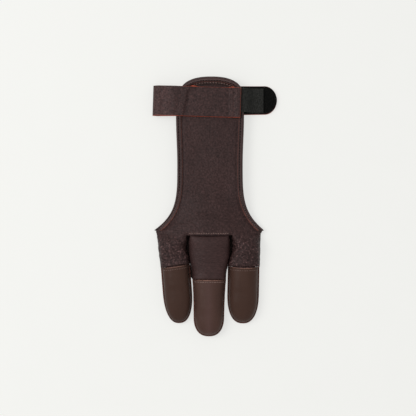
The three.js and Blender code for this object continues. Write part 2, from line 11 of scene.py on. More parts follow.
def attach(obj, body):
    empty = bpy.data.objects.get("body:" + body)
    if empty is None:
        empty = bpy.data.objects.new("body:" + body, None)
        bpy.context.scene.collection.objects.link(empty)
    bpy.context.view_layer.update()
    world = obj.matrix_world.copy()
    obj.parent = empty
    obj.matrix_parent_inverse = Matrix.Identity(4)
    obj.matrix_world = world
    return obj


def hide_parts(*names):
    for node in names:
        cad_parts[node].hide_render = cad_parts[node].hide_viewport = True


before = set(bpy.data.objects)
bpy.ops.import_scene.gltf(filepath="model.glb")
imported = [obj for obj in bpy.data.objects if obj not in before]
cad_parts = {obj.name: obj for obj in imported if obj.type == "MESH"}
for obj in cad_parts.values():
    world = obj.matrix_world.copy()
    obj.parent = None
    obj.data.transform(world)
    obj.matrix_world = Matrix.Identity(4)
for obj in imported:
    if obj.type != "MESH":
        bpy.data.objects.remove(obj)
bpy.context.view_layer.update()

MM = 0.001
random.seed(11)

# Leather, trim and gaps
BACK_LEATHER = 1.5
PALM_LEATHER = 1.4
STALL_LEATHER = 1.8
BINDING_LEATHER = 1.0
STRAP_LEATHER = 1.6
WEBBING_THICKNESS = 1.2
PATCH_THICKNESS = 1.2
CLEARANCE = 0.3

# Back strip and knuckles
STRIP_WIDTH = 55.1
SHOULDER = 116.0
ARCH_RISE = 15.0
ARCH_OFFSET = 1.0
ARCH_NARROWING = 0.65
WAIST = 58.0
WRIST_SPREAD = 1.1
STRIP_CROWN = 0.8
BINDING_WIDTH = 3.3
KNUCKLE_WIDTH = 88.0
WING_SPREAD = 2.5
KNUCKLE_OFFSET = -1.05
FLARE_START = 2.5
FLARE_END = 60.0
SWELL_END = 39.6
KNUCKLE_HEIGHT = 16.5
PALM_TOP = 1.0
PALM_CROTCH = 5.5
FINGER_GAP = 1.7
CROTCH_RUN = 12.0
PALM_SLIT = 0.01
HEM_OVERLAP = 4.0
HEM_DROP = 1.0
WEB_START = 2.0
WEB_END = 12.0

# Fingers
SEAM_WIDTH = 1.3
FINGER_REACH = 86.4
STALL_WIDTH = 26.2
STALL_HEIGHT = 14.0
STALL_OVERLAP = 6.0
STALL_STEP = 0.15
CROWN_STEP = 1.0
STALL_CLEAR = 0.03
SEAM_THICKNESS = 1.6
SQUARENESS = 2.3
END_SQUARENESS = 2.4
FLARE_POWER = 4
OFFSET_POWER = 8

# Wrist strap and its closure
STRAP_WIDTH = 25.2
STRAP_CENTRE = 112.3
STRAP_FOLD = 48.1
STRAP_FRONT = 73.9
STRAP_TILT = 0.031
STRAP_FOLD_HEIGHT = 11.2
WRIST_HOLLOW = 6.0
TAB_WIDTH = 24.2
TAB_END = 56.7
TAB_ROUND = 10.5
TAB_RISE = 0.65
PATCH_START = 22.5
PATCH_MARGIN = 0.9
WEBBING_WIDTH = 20.2
WEBBING_CENTRE = 112.5
WEBBING_START = 19.0
WEBBING_END = 45.1
WEBBING_DROP = 9.5
DRAPE_RUN = 3.4
DRAPE_SLACK = 0.2

# Cut edges that show from above
MOUTH_BEVEL = 0.8
STRAP_BEVEL = 0.4
STRAP_TOP_BEVEL = 0.1
STRAP_END_BEVEL = 0.36

# Stitches, and where they run in from the bound edge
STITCH_PITCH = 2.3
STITCH_LENGTH = 1.5
STITCH_JITTER = 0.08
THREAD_RADIUS = 0.24
STITCH_LEFT = 0.95
STITCH_ARCH = 2.1
STITCH_RIGHT = 1.6
STRAP_STITCHES = (20.4, 23.6)

# The binding's groove under its stitches, which takes painted shade, and the ridge outside it,
# which takes a painted highlight and stops a few points short of the arch part's ends
GROOVE_HALF = 0.36
RIDGE_END = 1.05
RIDGE_SHORT = 8

# Band of the panel under the wrist arch that takes painted shade
SHADED_CENTRE = 125.9
SHADED_HALF = 1.5
SHADED_REACH = 19

# Palm wings beside the middle finger, by depth below the hem
LEFT_WING_GROWS = (24.0, 25.6)
LEFT_WING_FADES = (35, 38.5)
RIGHT_WING_FADES = (28.5, 30.5)
LEFT_WING_EXTRA = 0.9

# Points along the bound edge, rows of the strap and palm, and the webbing's weave
FLARE_POINTS = 60
STRIP_POINTS = 90
ARCH_POINTS = 80
ARCH_LAP = 14
FLARE_STITCHED = slice(3, 36)
STRAP_FRONT_ROWS = 150
STRAP_FOLD_ROWS = 28
STRAP_BACK_ROWS = 60
TAB_ROWS = 22
PALM_ROWS = 26
RIB_PITCH = 1.05
PICK_PITCH = 0.8

# Strap: where its grain gets coarse and where its top cut edge shows, along X
STRAP_COARSE = (-20, -34)
STRAP_BARE = (-30, -22)

# Loops of the patch
LOOP_COUNT = 2600
LOOP_SPAN = (0.25, 0.5)
LOOP_RISE = (0.25, 0.6)
LOOP_THREAD = 0.07
LOOP_ROOT = 0.15

# Floor, light and the photo's frame: size of a pixel and the pixel of the glove's axis and hem
FLOOR_TONES = [(0.0, (0.27, 0.272, 0.256)), (1.0, (0.28, 0.282, 0.266))]
FLOOR_GLOW = 0.61
FLOOR_HALF = 4.0
FLOOR_DROP = 0.0002
WARM_WHITE = (1, 1, 0.985, 1)
WORLD_STRENGTH = 0.65
PIXEL = 0.84
PHOTO_SIZE = 416
AXIS_PIXEL = (210, 234)
LENS = 100.0
SENSOR = 36.0
CAMERA_LIFT = 0.009

FINGER_TABLE = [
    dict(name="ring", mouthX=-0.3325, tipX=-0.2895, stall=0.945, flare=1.0, mouth=0.311,
         tip=0.873, lift=0.97, slant=0.07, seam=0.13, dome=0.58),
    dict(name="middle", mouthX=-0.0075, tipX=-0.012, stall=0.985, flare=1.1, mouth=0.4435,
         tip=1.0, lift=1.05, slant=0.0, seam=0.28, dome=0.36),
    dict(name="index", mouthX=0.3235, tipX=0.3125, stall=1.02, flare=1.0, mouth=0.319,
         tip=0.876, lift=1.0, slant=0.0, seam=0.13, dome=0.53),
]
MOUTH_SAG = {"ring": 0.5, "middle": 0.1, "index": 0.9}
CROTCH_SHARES = (-0.2145, 0.2035)
STALL_PROFILE = [(0.0, 0.0, 0.99), (0.22, 0.38, 1.0), (0.45, 0.68, 1.01), (0.72, 0.88, 1.0),
                 (1.0, 1.0, 0.95)]
DENTS = [(0.55, 0.30, 0.45, 0.20, 0.42), (-0.50, 0.55, 0.40, 0.22, 0.50),
         (0.05, 0.16, 0.50, 0.42, 0.12), (-0.62, 0.10, 0.40, 0.18, 0.14)]

# The footprint's middle is the origin
BINDING_REACH = BINDING_LEATHER + CLEARANCE
ORIGIN_X = (STRAP_FOLD - TAB_END) / 2
ORIGIN_Y = (FINGER_REACH - SHOULDER - ARCH_RISE - BINDING_REACH) / 2
STRIP_TOP = STRAP_LEATHER + WRIST_HOLLOW + BACK_LEATHER
SEAM_TOP = PALM_LEATHER + CLEARANCE + BACK_LEATHER
PANEL_HALF = STRIP_WIDTH / 2 - BINDING_REACH
CORNER_HALF = KNUCKLE_WIDTH / 2 + WING_SPREAD - BINDING_REACH
HEM_HALF = KNUCKLE_WIDTH / 2
STRAP_LOW = STRAP_CENTRE - STRAP_WIDTH / 2
FOLD_RADIUS = STRAP_FOLD_HEIGHT / 2
FOLD_X = FOLD_RADIUS - STRAP_FOLD
ROUND_START = TAB_END - TAB_ROUND


# Numbers
def lerp(a, b, t):
    return a + (b - a) * t


def smooth(start, end, value):
    t = np.clip((value - start) / (end - start), 0, 1)
    return t * t * (3 - 2 * t)


def super_cos(angle, squareness=SQUARENESS):
    c = np.cos(angle)
    return np.sign(c) * np.abs(c) ** (2 / squareness)


def super_sin(angle, squareness=SQUARENESS):
    return np.abs(np.sin(angle)) ** (2 / squareness)


def bell(value, middle, width):
    return np.exp(-((value - middle) / width) ** 2)


def stack(x, y, z):
    return np.stack(np.broadcast_arrays(x, y, z), axis=-1).astype(float)


# Shape of the back: a low crown at the wrist that swells over the knuckles
def strip_half(y):
    y = np.asarray(y, float)
    along = np.clip((y - FLARE_START) / (FLARE_END - FLARE_START), 0, 1)
    flared = PANEL_HALF + (CORNER_HALF - PANEL_HALF) * (1 - along) ** FLARE_POWER
    spread = WRIST_SPREAD * smooth(WAIST, STRAP_LOW, y)
    drawn_in = (WRIST_SPREAD + ARCH_NARROWING) * smooth(STRAP_LOW, SHOULDER, y)
    hem = lerp(HEM_HALF, CORNER_HALF, np.clip(y / FLARE_START, 0, 1))
    return np.where(y < FLARE_START, hem, flared + spread - drawn_in)


def strip_middle(y):
    y = np.asarray(y, float)
    low = (1 - np.clip(y / FLARE_END, 0, 1)) ** OFFSET_POWER
    return KNUCKLE_OFFSET * low + ARCH_OFFSET * smooth(STRAP_LOW, SHOULDER, y)


ARCH_MIDDLE = float(strip_middle(SHOULDER))
ARCH_HALF = float(strip_half(SHOULDER))


def back_height(x, y):
    across = np.clip(np.abs(x - strip_middle(y)) / strip_half(y), 0, 1)
    rise = smooth(FLARE_START, SWELL_END, y)
    edge = lerp(SEAM_TOP, STRIP_TOP, rise)
    crown = lerp(KNUCKLE_HEIGHT, STRIP_TOP + STRIP_CROWN, rise)
    dents = 0
    for share_x, share_y, depth, span_x, span_y in DENTS:
        dx = (x - share_x * strip_half(y)) / (span_x * STRIP_WIDTH)
        dy = (y - share_y * SHOULDER) / (span_y * STRIP_WIDTH)
        dents = dents + depth * BACK_LEATHER * np.exp(-(dx * dx + dy * dy) * 2)
    inside = (1 - across ** 4) * smooth(-WEB_START, FLARE_START * 2, y)
    return edge + (crown - edge) * (1 - across ** 2.2) - dents * inside


# Fingers at their real sizes
def make_fingers():
    left, right = (share * KNUCKLE_WIDTH for share in CROTCH_SHARES)
    edges = [(KNUCKLE_OFFSET - HEM_HALF, left - FINGER_GAP / 2),
             (left + FINGER_GAP / 2, right - FINGER_GAP / 2),
             (right + FINGER_GAP / 2, KNUCKLE_OFFSET + HEM_HALF)]
    fingers = []
    for outer, row, (low, high) in zip((-1, 0, 1), FINGER_TABLE, edges):
        mouth = row["mouth"] * FINGER_REACH
        tip = row["tip"] * FINGER_REACH
        mouth_x = row["mouthX"] * KNUCKLE_WIDTH
        tip_x = row["tipX"] * KNUCKLE_WIDTH
        half = row["stall"] * STALL_WIDTH / 2
        fingers.append(dict(
            name=row["name"], root_x=(low + high) / 2, root_half=(high - low) / 2, outer=outer,
            mouth=mouth, mouth_x=mouth_x, length=math.hypot(tip - mouth, tip_x - mouth_x),
            angle=math.atan2(tip_x - mouth_x, tip - mouth), half=half,
            mouth_half=half * row["flare"], height=row["lift"] * STALL_HEIGHT,
            slant=row["slant"], seam=row["seam"] * STALL_HEIGHT, dome=row["dome"],
            sag=MOUTH_SAG[row["name"]]))
    return fingers


FINGERS = make_fingers()


def finger_section(finger, depth):
    mouth = finger["mouth"]
    in_stall = smooth(mouth - STALL_STEP, mouth - STALL_CLEAR, depth)
    dropped = smooth(mouth - CROWN_STEP, mouth - 2 * STALL_STEP, depth)
    free = np.clip(depth / mouth, 0, 1)
    eased = smooth(0, 1, free)
    late = smooth(CROTCH_RUN, mouth, depth)
    inside = np.maximum(0, depth - mouth)
    tucked = min(finger["half"], finger["mouth_half"])
    tucked -= SEAM_WIDTH + STALL_LEATHER + 2 * CLEARANCE
    palm = (STALL_LEATHER + CLEARANCE) * smooth(mouth - STALL_OVERLAP, mouth - STALL_CLEAR, depth)
    outer_crown = lerp(KNUCKLE_HEIGHT, finger["height"] - BACK_LEATHER / 2, smooth(0, 0.9, free))
    tucked_crown = finger["height"] * 0.99 - STALL_LEATHER - 1.5 * CLEARANCE
    left, right = (lerp(finger["root_x"] + side * finger["root_half"],
                        finger["mouth_x"] + side * finger["mouth_half"],
                        free if side == finger["outer"] else late) for side in (-1, 1))
    return dict(
        x=(left + right) / 2 + math.sin(finger["angle"]) * inside,
        y=-free * mouth - math.cos(finger["angle"]) * inside,
        turn=finger["angle"] * eased,
        half=lerp((right - left) / 2, tucked, in_stall),
        seam=lerp(SEAM_WIDTH, CLEARANCE, in_stall),
        palm=palm, foot=palm + SEAM_TOP,
        rim=lerp(SEAM_RIM, TUCKED_RIM, in_stall),
        crown=lerp(outer_crown, tucked_crown, dropped),
        slant=finger["slant"] * smooth(mouth - 2 * STALL_OVERLAP, mouth, depth))


# Stations across a finger: a flat seam, an arch and a flat seam
ARCH_CELLS = 30
SEAM_CELLS = 3
SEAM_RIM = 0.5
TUCKED_RIM = 0.1
ARCH_POWER = 0.62


def stations():
    angles = np.linspace(0, math.pi, ARCH_CELLS + 1)
    seam = np.linspace(1, 0, SEAM_CELLS + 1)[:-1]
    blank = np.zeros_like(seam)
    side = np.concatenate([-np.ones_like(seam), np.zeros_like(angles), np.ones_like(seam)])
    reach = np.concatenate([seam, np.zeros_like(angles), seam[::-1]])
    across = np.concatenate([blank - 1, -super_cos(angles), blank + 1])
    climb = 1 - seam ** 2
    rise = np.concatenate([climb, np.ones_like(angles), climb[::-1]])
    crown = (1 - np.abs(super_cos(angles)) ** SQUARENESS) ** ARCH_POWER
    return dict(side=side, reach=reach, across=across, rise=rise,
                crown=np.concatenate([blank, crown, blank]))


STATIONS = stations()
STATION_COUNT = len(STATIONS["rise"])


def back_points(finger, heights):
    """Outer face of the back in one finger's columns, at heights above or below the hem."""
    y = np.asarray(heights, float)[:, None]
    section = finger_section(finger, np.maximum(0, -y))
    body = section["half"] - section["seam"]
    offset = STATIONS["across"] * body + STATIONS["side"] * STATIONS["reach"] * section["seam"]
    lift = section["rim"] * STATIONS["rise"] + (1 - section["rim"]) * STATIONS["crown"]
    arch = section["foot"] + (section["crown"] - section["foot"]) * lift
    shape = 1 - smooth(-WEB_END, WEB_START, y)
    hem_across = (section["x"] + offset - strip_middle(0)) / HEM_HALF
    upper_x = strip_middle(y) + hem_across * strip_half(y)
    lower_x = section["x"] + offset * np.cos(section["turn"])
    x = np.where(y >= 0, upper_x, lower_x)
    lower_y = section["y"] + offset * (np.sin(section["turn"]) + section["slant"])
    plan_y = np.where(y >= 0, y, lower_y)
    broad = back_height(x, np.maximum(0, y))
    return stack(x, plan_y, lerp(broad, arch, shape))


# Surface relief of leather: soft folds and shallow bumps, in millimetres
def ripple(points, size, depth, seed=0.0, stretch=(1, 1, 1)):
    flat = points.reshape(-1, 3) / size * np.array(stretch)
    values = [noise.noise(Vector((p[0] + seed, p[1] - seed, p[2] * 0.5))) for p in flat]
    return depth * np.array(values).reshape(points.shape[:-1])


def grid_normals(grid):
    along = np.gradient(grid, axis=0)
    across = np.gradient(grid, axis=1)
    normal = np.cross(across, along)
    length = np.linalg.norm(normal, axis=-1, keepdims=True)
    return np.where(length > 1e-9, normal / np.maximum(length, 1e-9), (0, 0, 1))


def push(grid, amount):
    return grid + grid_normals(grid) * np.asarray(amount)[..., None]


# Meshes
def make_object(name, vertices, faces, slots, materials, angle=48, welded=True):
    mesh = bpy.data.meshes.new(name)
    placed = np.asarray(vertices) + (ORIGIN_X, ORIGIN_Y, 0)
    mesh.from_pydata((placed * MM).tolist(), [], [list(f) for f in faces])
    for material in materials:
        mesh.materials.append(material)
    mesh.polygons.foreach_set("material_index", slots)
    if welded:
        form = bmesh.new()
        form.from_mesh(mesh)
        bmesh.ops.remove_doubles(form, verts=form.verts, dist=2e-6)
        loose = [v for v in form.verts if not v.link_faces]
        bmesh.ops.delete(form, geom=loose, context="VERTS")
        bmesh.ops.recalc_face_normals(form, faces=form.faces)
        form.to_mesh(mesh)
        form.free()
    mesh.polygons.foreach_set("use_smooth", [True] * len(mesh.polygons))
    mesh.set_sharp_from_angle(angle=math.radians(angle))
    thing = bpy.data.objects.new(name, mesh)
    bpy.context.scene.collection.objects.link(thing)
    return thing


def quads(count, ring, start=0, closed=True):
    """Quads between rings of vertices that follow each other."""
    return [(start + s * ring + i, start + s * ring + (i + 1) % ring,
             start + (s + 1) * ring + (i + 1) % ring, start + (s + 1) * ring + i)
            for s in range(count - 1) for i in range(ring if closed else ring - 1)]


def sheet_mesh(name, outer, inner, materials, keep=None, bevels=(0, 0, 0, 0), darkened=None):
    """Closed sheet. materials are face, flesh, cut edge and the painted shade on the faces that
    the mask marks. bevels draw the outer face in at the first and last row and column, so that
    the cut edge shows."""
    rows, columns = outer.shape[:2]
    face = outer.copy()
    for side, amount in enumerate(bevels):
        lines = face if side < 2 else face.swapaxes(0, 1)
        lines = lines[::-1] if side % 2 else lines
        way = lines[3] - lines[0]
        way /= np.maximum(np.linalg.norm(way, axis=-1, keepdims=True), 1e-6)
        for i in range(3):
            lines[i] += way * np.asarray(amount, float)[..., None] * (1 - i / 3)
    if keep is None:
        keep = np.ones((rows - 1, columns - 1), bool)
    padded = np.zeros((rows + 1, columns + 1), bool)
    padded[1:-1, 1:-1] = keep
    low = rows * columns
    faces = []
    slots = []

    def at(r, c):
        return r * columns + c

    for r, c in zip(*np.nonzero(keep)):
        a, b, d, e = at(r, c), at(r, c + 1), at(r + 1, c + 1), at(r + 1, c)
        faces += [(a, b, d, e), (low + a, low + e, low + d, low + b)]
        # Faces the mask marks take the fourth material, painted shade
        slots += [3 if darkened is not None and darkened[r, c] else 0, 1]
        rims = [(padded[r, c + 1], a, b), (padded[r + 2, c + 1], d, e),
                (padded[r + 1, c], e, a), (padded[r + 1, c + 2], b, d)]
        for filled, p, q in rims:
            if not filled:
                faces.append((p, low + p, low + q, q))
                slots.append(2)
    vertices = np.concatenate([face.reshape(-1, 3), inner.reshape(-1, 3)])
    return make_object(name, vertices, faces, slots, materials)


def dress(thing, slot, *nodes):
    if nodes:
        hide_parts(*nodes)
    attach(thing, "root")


# Materials, all procedural, in object space
class Look:
    def __init__(self, name):
        self.material = bpy.data.materials.new(name)
        self.material.use_nodes = True
        self.tree = self.material.node_tree
        self.shader = self.tree.nodes["Principled BSDF"]
        self.place = self.add("TexCoord", "Object", {})

    def add(self, kind, output, sockets, **settings):
        """Add a node, link or set its sockets, and give back one of its outputs."""
        made = self.tree.nodes.new("ShaderNode" + kind)
        for key, value in settings.items():
            setattr(made, key, value)
        for key, value in sockets.items():
            if isinstance(value, bpy.types.NodeSocket):
                self.tree.links.new(value, made.inputs[key])
            else:
                made.inputs[key].default_value = value
        return made.outputs[output]

    def noise(self, scale, detail=4.0, roughness=0.55, place=None):
        return self.add("TexNoise", "Fac", {"Vector": place or self.place, "Scale": scale,
                                            "Detail": detail, "Roughness": roughness})

    def cells(self, scale, feature="SMOOTH_F1", place=None):
        return self.add("TexVoronoi", "Distance",
                        {"Vector": place or self.place, "Scale": scale}, feature=feature)

    def stretched(self, scale):
        return self.add("Mapping", "Vector", {"Vector": self.place, "Scale": scale})

    def warped(self, place, scale, amount):
        shift = self.add("TexNoise", "Color", {"Vector": place, "Scale": scale, "Detail": 2.0})
        return self.add("VectorMath", "Vector", {0: shift, 1: (amount,) * 3, 2: place},
                        operation="MULTIPLY_ADD")

    def ramp(self, source, stops):
        """stops are a place and a colour, or a number for grey."""
        made = self.tree.nodes.new("ShaderNodeValToRGB")
        elements = made.color_ramp.elements
        for _ in stops[2:]:
            elements.new(0.5)
        for element, (place, colour) in zip(elements, stops):
            element.position = place
            element.color = (*(colour if isinstance(colour, tuple) else (colour,) * 3), 1)
        self.tree.links.new(source, made.inputs["Fac"])
        return made.outputs["Color"]

    def tones(self, source, base, *stops):
        """A ramp of one screen colour: each stop is a place and a brightness."""
        places, shares = zip(*stops)
        return self.ramp(source, list(zip(places, shades(base, *shares))))

    def grey(self, source, low, high, start=0.0, end=1.0):
        return self.add("MapRange", "Result", {"Value": source, "From Min": start,
                                               "From Max": end, "To Min": low, "To Max": high})

    def worn(self, low, high, *settings):
        """Roughness that wanders between two values."""
        return self.grey(self.noise(*settings), low, high, 0.3, 0.7)

    def along(self, axis, start, end):
        return self.grey(self.add("SeparateXYZ", axis, {"Vector": self.place}), 0, 1, start, end)

    def times(self, first, second, factor=1.0):
        return self.add("Mix", "Result", {"Factor": factor, "A": first, "B": second},
                        data_type="RGBA", blend_type="MULTIPLY")

    def maths(self, kind, first, second):
        return self.add("Math", "Value", {0: first, 1: second}, operation=kind)

    def bump(self, height, distance, strength=1.0, under=None):
        below = {"Normal": under} if under else {}
        return self.add("Bump", "Normal", {"Height": height, "Distance": distance,
                                           "Strength": strength, **below})

    def finish(self, colour, rough, normal, specular=0.5, sheen=0.0):
        inputs = self.shader.inputs
        for key, value in (("Base Color", colour), ("Roughness", rough), ("Normal", normal)):
            self.tree.links.new(value, inputs[key])
        inputs["Specular IOR Level"].default_value = specular
        inputs["Sheen Weight"].default_value = sheen
        inputs["Sheen Roughness"].default_value = 0.5
        return self.material


def shades(base, *shares):
    """A colour of 0 to 255 screen values at several brightnesses, as linear light."""
    rows = [[channel * share / 255 for channel in base] for share in shares]
    return [tuple(v / 12.92 if v <= 0.04045 else ((v + 0.055) / 1.055) ** 2.4 for v in row)
            for row in rows]


def pebbled_leather(name, base, pebble=760, depth=0.0003, roughness=0.5, specular=0.25,
                    contrast=1.0, stretch=(1, 1, 1), coarse=None, painted_light_span=None):
    """coarse and the span after it are (axis, start, end) in metres: between the first the grain
    gets rougher and its specks take painted highlights, between the second the leather is painted
    paler as painted light."""
    look = Look(name)
    mottle = look.tones(look.noise(45, 3), base, (0.36, 0.95), (0.5, 1.0), (0.66, 1.05))
    place = look.stretched(stretch)
    warp = look.warped(place, 260, 0.0012)
    cell = look.cells(pebble, place=warp)
    wrinkle = look.noise(pebble * 0.9, 4, 0.6, warp)
    low, high = 1 - 0.42 * contrast, 1 + 0.6 * contrast
    darkened = look.ramp(cell, [(0.0, high), (0.4, 1), (0.8, (low, low * 0.98, low * 0.98))])
    streak = look.ramp(wrinkle, [(0.34, low), (0.5, 1), (0.66, high)])
    colour = look.times(look.times(mottle, darkened, 0.8), streak)
    rough = look.worn(roughness - 0.07, roughness + 0.09, 420, 4)
    height = look.maths("ADD", look.maths("MULTIPLY", cell, -0.8), wrinkle)
    # Coarse span: rougher grain relief, and colour specks painted up to three times paler, which
    # are painted highlights
    if coarse:
        share = look.along(*coarse)
        curds = look.noise(560, 3, 0.6, look.warped(look.place, 330, 0.0016))
        painted_highlight = look.ramp(curds, [(0.34, (0.45, 0.43, 0.43)), (0.5, (0.92, 0.92, 0.92)),
                                   (0.58, (1.2, 1.2, 1.2)), (0.66, (2.9, 3.1, 3.2))])
        colour = look.times(colour, painted_highlight, share)
        height = look.maths("ADD", height, look.maths("MULTIPLY", curds,
                                                      look.maths("MULTIPLY", share, 1.2)))
    # Painted light: the leather is painted paler along this span
    if painted_light_span:
        painted_light = look.ramp(look.along(*painted_light_span), [(0.0, 1), (1.0, (1.34, 1.38, 1.4))])
        colour = look.times(colour, painted_light)
    fine = look.bump(look.noise(2600, 3), 0.00005)
    return look.finish(colour, rough, look.bump(height, depth, 1.0, fine), specular)


def smooth_leather(name, base, roughness=0.42, specular=0.3, depth=0.00004, streak=(1, 1, 1),
                   painted_highlight=None):
    """Its last argument gives the middle and half width, in metres along X, of a band painted
    paler, a painted highlight.
    """
    look = Look(name)
    mottle = look.tones(look.noise(70, 5, 0.6, look.stretched(streak)), base, (0.3, 0.94),
                        (0.52, 1.0), (0.74, 1.06))
    speck = look.ramp(look.noise(1500, 2), [(0.28, (0.85, 0.84, 0.84)), (0.5, 1),
                                           (0.78, (1.12, 1.1, 1.08))])
    colour = look.times(mottle, speck, 0.6)
    # Painted highlight: a band down the middle painted paler
    if painted_highlight:
        middle, half = painted_highlight
        band = look.maths("MULTIPLY", look.along("X", middle - half, middle),
                          look.along("X", middle + half, middle))
        colour = look.times(colour, look.ramp(band, [
            (0.0, 1), (0.5, (1.08, 1.1, 1.13)), (1.0, (1.3, 1.36, 1.5))]))
    rough = look.worn(roughness - 0.06, roughness + 0.1, 260, 4)
    grain = look.bump(look.noise(1700, 4), depth, 0.9)
    return look.finish(colour, rough, look.bump(look.noise(120, 3), 0.0003, 0.35, grain),
                       specular, 0.02)


# Plain looks: tones, noise of the colour, roughness, noise of the relief and its depth
CUT = (((0.3, 0.62), (0.5, 1.0), (0.72, 1.2)), (700, 4), (0.65, 0.85, 900, 3), (2200, 3),
       0.0001)
SUEDE = (((0.3, 0.8), (0.5, 1.0), (0.7, 1.2)), (320, 6, 0.7), (0.82, 0.97, 500, 3), (1800, 5),
         0.00018)
CURL = (2300, 5, 0.75)
LOOPS = (((0.34, 0.45), (0.52, 1.0), (0.72, 1.9)), CURL, (0.85, 1.0, *CURL), CURL, 0.0004)
YARN = (((0.35, 0.8), (0.65, 1.15)), (1500, 3), (0.5, 0.65, 1200, 3), (2500, 3), 0.00006)


def plain_look(name, base, kind, specular=0.3, sheen=0.0):
    tones, grain, rough, relief, depth = kind
    look = Look(name)
    return look.finish(look.tones(look.noise(*grain), base, *tones), look.worn(*rough),
                       look.bump(look.noise(*relief), depth), specular, sheen)


def woven(name, base):
    look = Look(name)
    yarn = look.cells(1450, "F1", look.stretched((1.0, 0.55, 1.0)))
    colour = look.tones(yarn, base, (0.0, 1.35), (0.4, 1.0), (0.8, 0.6))
    return look.finish(colour, look.worn(0.75, 0.92, 900, 3), look.bump(yarn, 0.00014), 0.12,
                       0.02)


# On the finger backs the grain turns coarse, and its brightest specks are painted highlights
PEBBLED = pebbled_leather("pebbled_back", (53, 37, 36), specular=0.14, contrast=0.75,
                          coarse=("Y", -0.020, -0.030))
# The strap is painted paler towards its left fold, as painted light on the side facing the key
# lamp
STRAP_FACE = pebbled_leather("strap_face", (54, 37, 36), specular=0.16, contrast=1.0,
                             painted_light_span=("X", -0.034, -0.041))
FINE = pebbled_leather("fine_back", (56, 39, 38), pebble=950, depth=0.00016, specular=0.14,
                       contrast=0.5, stretch=(0.5, 1.5, 1.0))
PALM = pebbled_leather("palm_face", (50, 36, 35), pebble=1000, depth=0.00012, specular=0.14,
                       contrast=0.6)
TRIM = pebbled_leather("binding_face", (58, 42, 41), pebble=1100, depth=0.00012,
                       specular=0.2, contrast=0.6)
# Dark leather laid on as painted shade: under the panel's hem and in the binding's groove
PAINTED_SHADE = pebbled_leather("painted_shade", (26, 16, 15), pebble=1100, depth=0.00012,
                         specular=0.1, contrast=0.5)
STALL = smooth_leather("stall_face", (63, 44, 37), roughness=0.45, specular=0.09,
                       streak=(1.0, 0.35, 1.0))
# The middle stall is painted a little paler, with a painted highlight down its middle
PAINTED_HIGHLIGHT_STALL = smooth_leather("stall_face_painted_highlight", (69, 49, 43), roughness=0.45, specular=0.09,
                              streak=(1.0, 0.35, 1.0), painted_highlight=(-0.0055, 0.0085))
RAW = plain_look("raw_edge", (150, 66, 46), CUT)
DIM_RAW = plain_look("dim_raw_edge", (88, 54, 48), CUT)
STALL_RAW = plain_look("stall_raw_edge", (142, 106, 94), CUT)
FLESH = plain_look("flesh_side", (38, 27, 25), SUEDE, 0.2, 0.2)
WEBBING = woven("webbing_weave", (42, 42, 40))
FUZZ = plain_look("patch_fuzz", (19, 19, 18), LOOPS, 0.06, 0.03)
STALL_SEAM = plain_look("stall_seam", (76, 50, 43), CUT, 0.05)
# Darker leather as painted shade, for the panel's band under the wrist arch
PAINTED_SHADE_PANEL = pebbled_leather("painted_shade_back", (40, 27, 25), specular=0.12, contrast=0.75)
# Paler leather as a painted highlight on the binding's ridge
PAINTED_HIGHLIGHT_TRIM = pebbled_leather("binding_ridge_painted_highlight", (84, 67, 65), pebble=1100, depth=0.00012,
                           specular=0.2, contrast=0.6)
THREAD = plain_look("thread", (66, 46, 44), YARN, 0.4, 0.1)
PALE_THREAD = plain_look("pale_thread", (112, 88, 82), YARN, 0.4, 0.1)


# Edge that the binding folds round, from the left knuckle over the wrist arch
def bound_edge():
    heights = np.concatenate([
        np.linspace(FLARE_START, FLARE_END, FLARE_POINTS, endpoint=False),
        np.linspace(FLARE_END, SHOULDER, STRIP_POINTS)])
    left = np.stack([strip_middle(heights) - strip_half(heights), heights], axis=-1)
    right = np.stack([strip_middle(heights) + strip_half(heights), heights], axis=-1)
    angles = np.linspace(0, math.pi, ARCH_POINTS + 2)[1:-1]
    arch = np.stack([ARCH_MIDDLE - ARCH_HALF * super_cos(angles, END_SQUARENESS),
                     SHOULDER + ARCH_RISE * super_sin(angles, END_SQUARENESS)], axis=-1)
    return np.concatenate([left, arch, right[::-1]])


EDGE = bound_edge()
ARCH_PART = slice(FLARE_POINTS + STRIP_POINTS - ARCH_LAP,
                  FLARE_POINTS + STRIP_POINTS + ARCH_POINTS + ARCH_LAP)


def edge_inward():
    along = np.gradient(EDGE, axis=0)
    along /= np.linalg.norm(along, axis=1, keepdims=True)
    return np.stack([along[:, 1], -along[:, 0]], axis=-1)


INWARD = edge_inward()


def edge_distance(x, y):
    flat = np.stack([np.ravel(x), np.ravel(y)], axis=-1)
    gaps = np.linalg.norm(flat[:, None, :] - EDGE[None, ::2, :], axis=-1).min(axis=1)
    return gaps.reshape(np.shape(x))


# Back panel: pebbled leather from the stalls of the outer fingers up to the wrist arch
FINGER_ROWS = 40
FLARE_ROWS = 44
STRIP_ROWS = 84
ARCH_ROWS = 12


def finger_depths(finger, rows=FINGER_ROWS):
    mouth = finger["mouth"]
    free = np.linspace(mouth - CROWN_STEP, 0, rows + 1)[:-1]
    step = np.concatenate([np.linspace(mouth - STALL_CLEAR, mouth - STALL_STEP, 3),
                           np.linspace(mouth - 2 * STALL_STEP, mouth - CROWN_STEP, 5)[:-1]])
    return np.concatenate([[mouth + STALL_OVERLAP], step, free])


def wrist_rows(row, count):
    across = np.clip(np.abs(row[:, 0] - ARCH_MIDDLE) / ARCH_HALF, 0, 1)
    reach = ARCH_RISE * np.maximum(0, 1 - across ** END_SQUARENESS) ** (1 / END_SQUARENESS)
    share = np.linspace(0, 1, count + 1)[1:, None]
    x = np.broadcast_to(row[:, 0], (count, len(row)))
    y = SHOULDER + share * reach
    return stack(x, y, back_height(x, y))


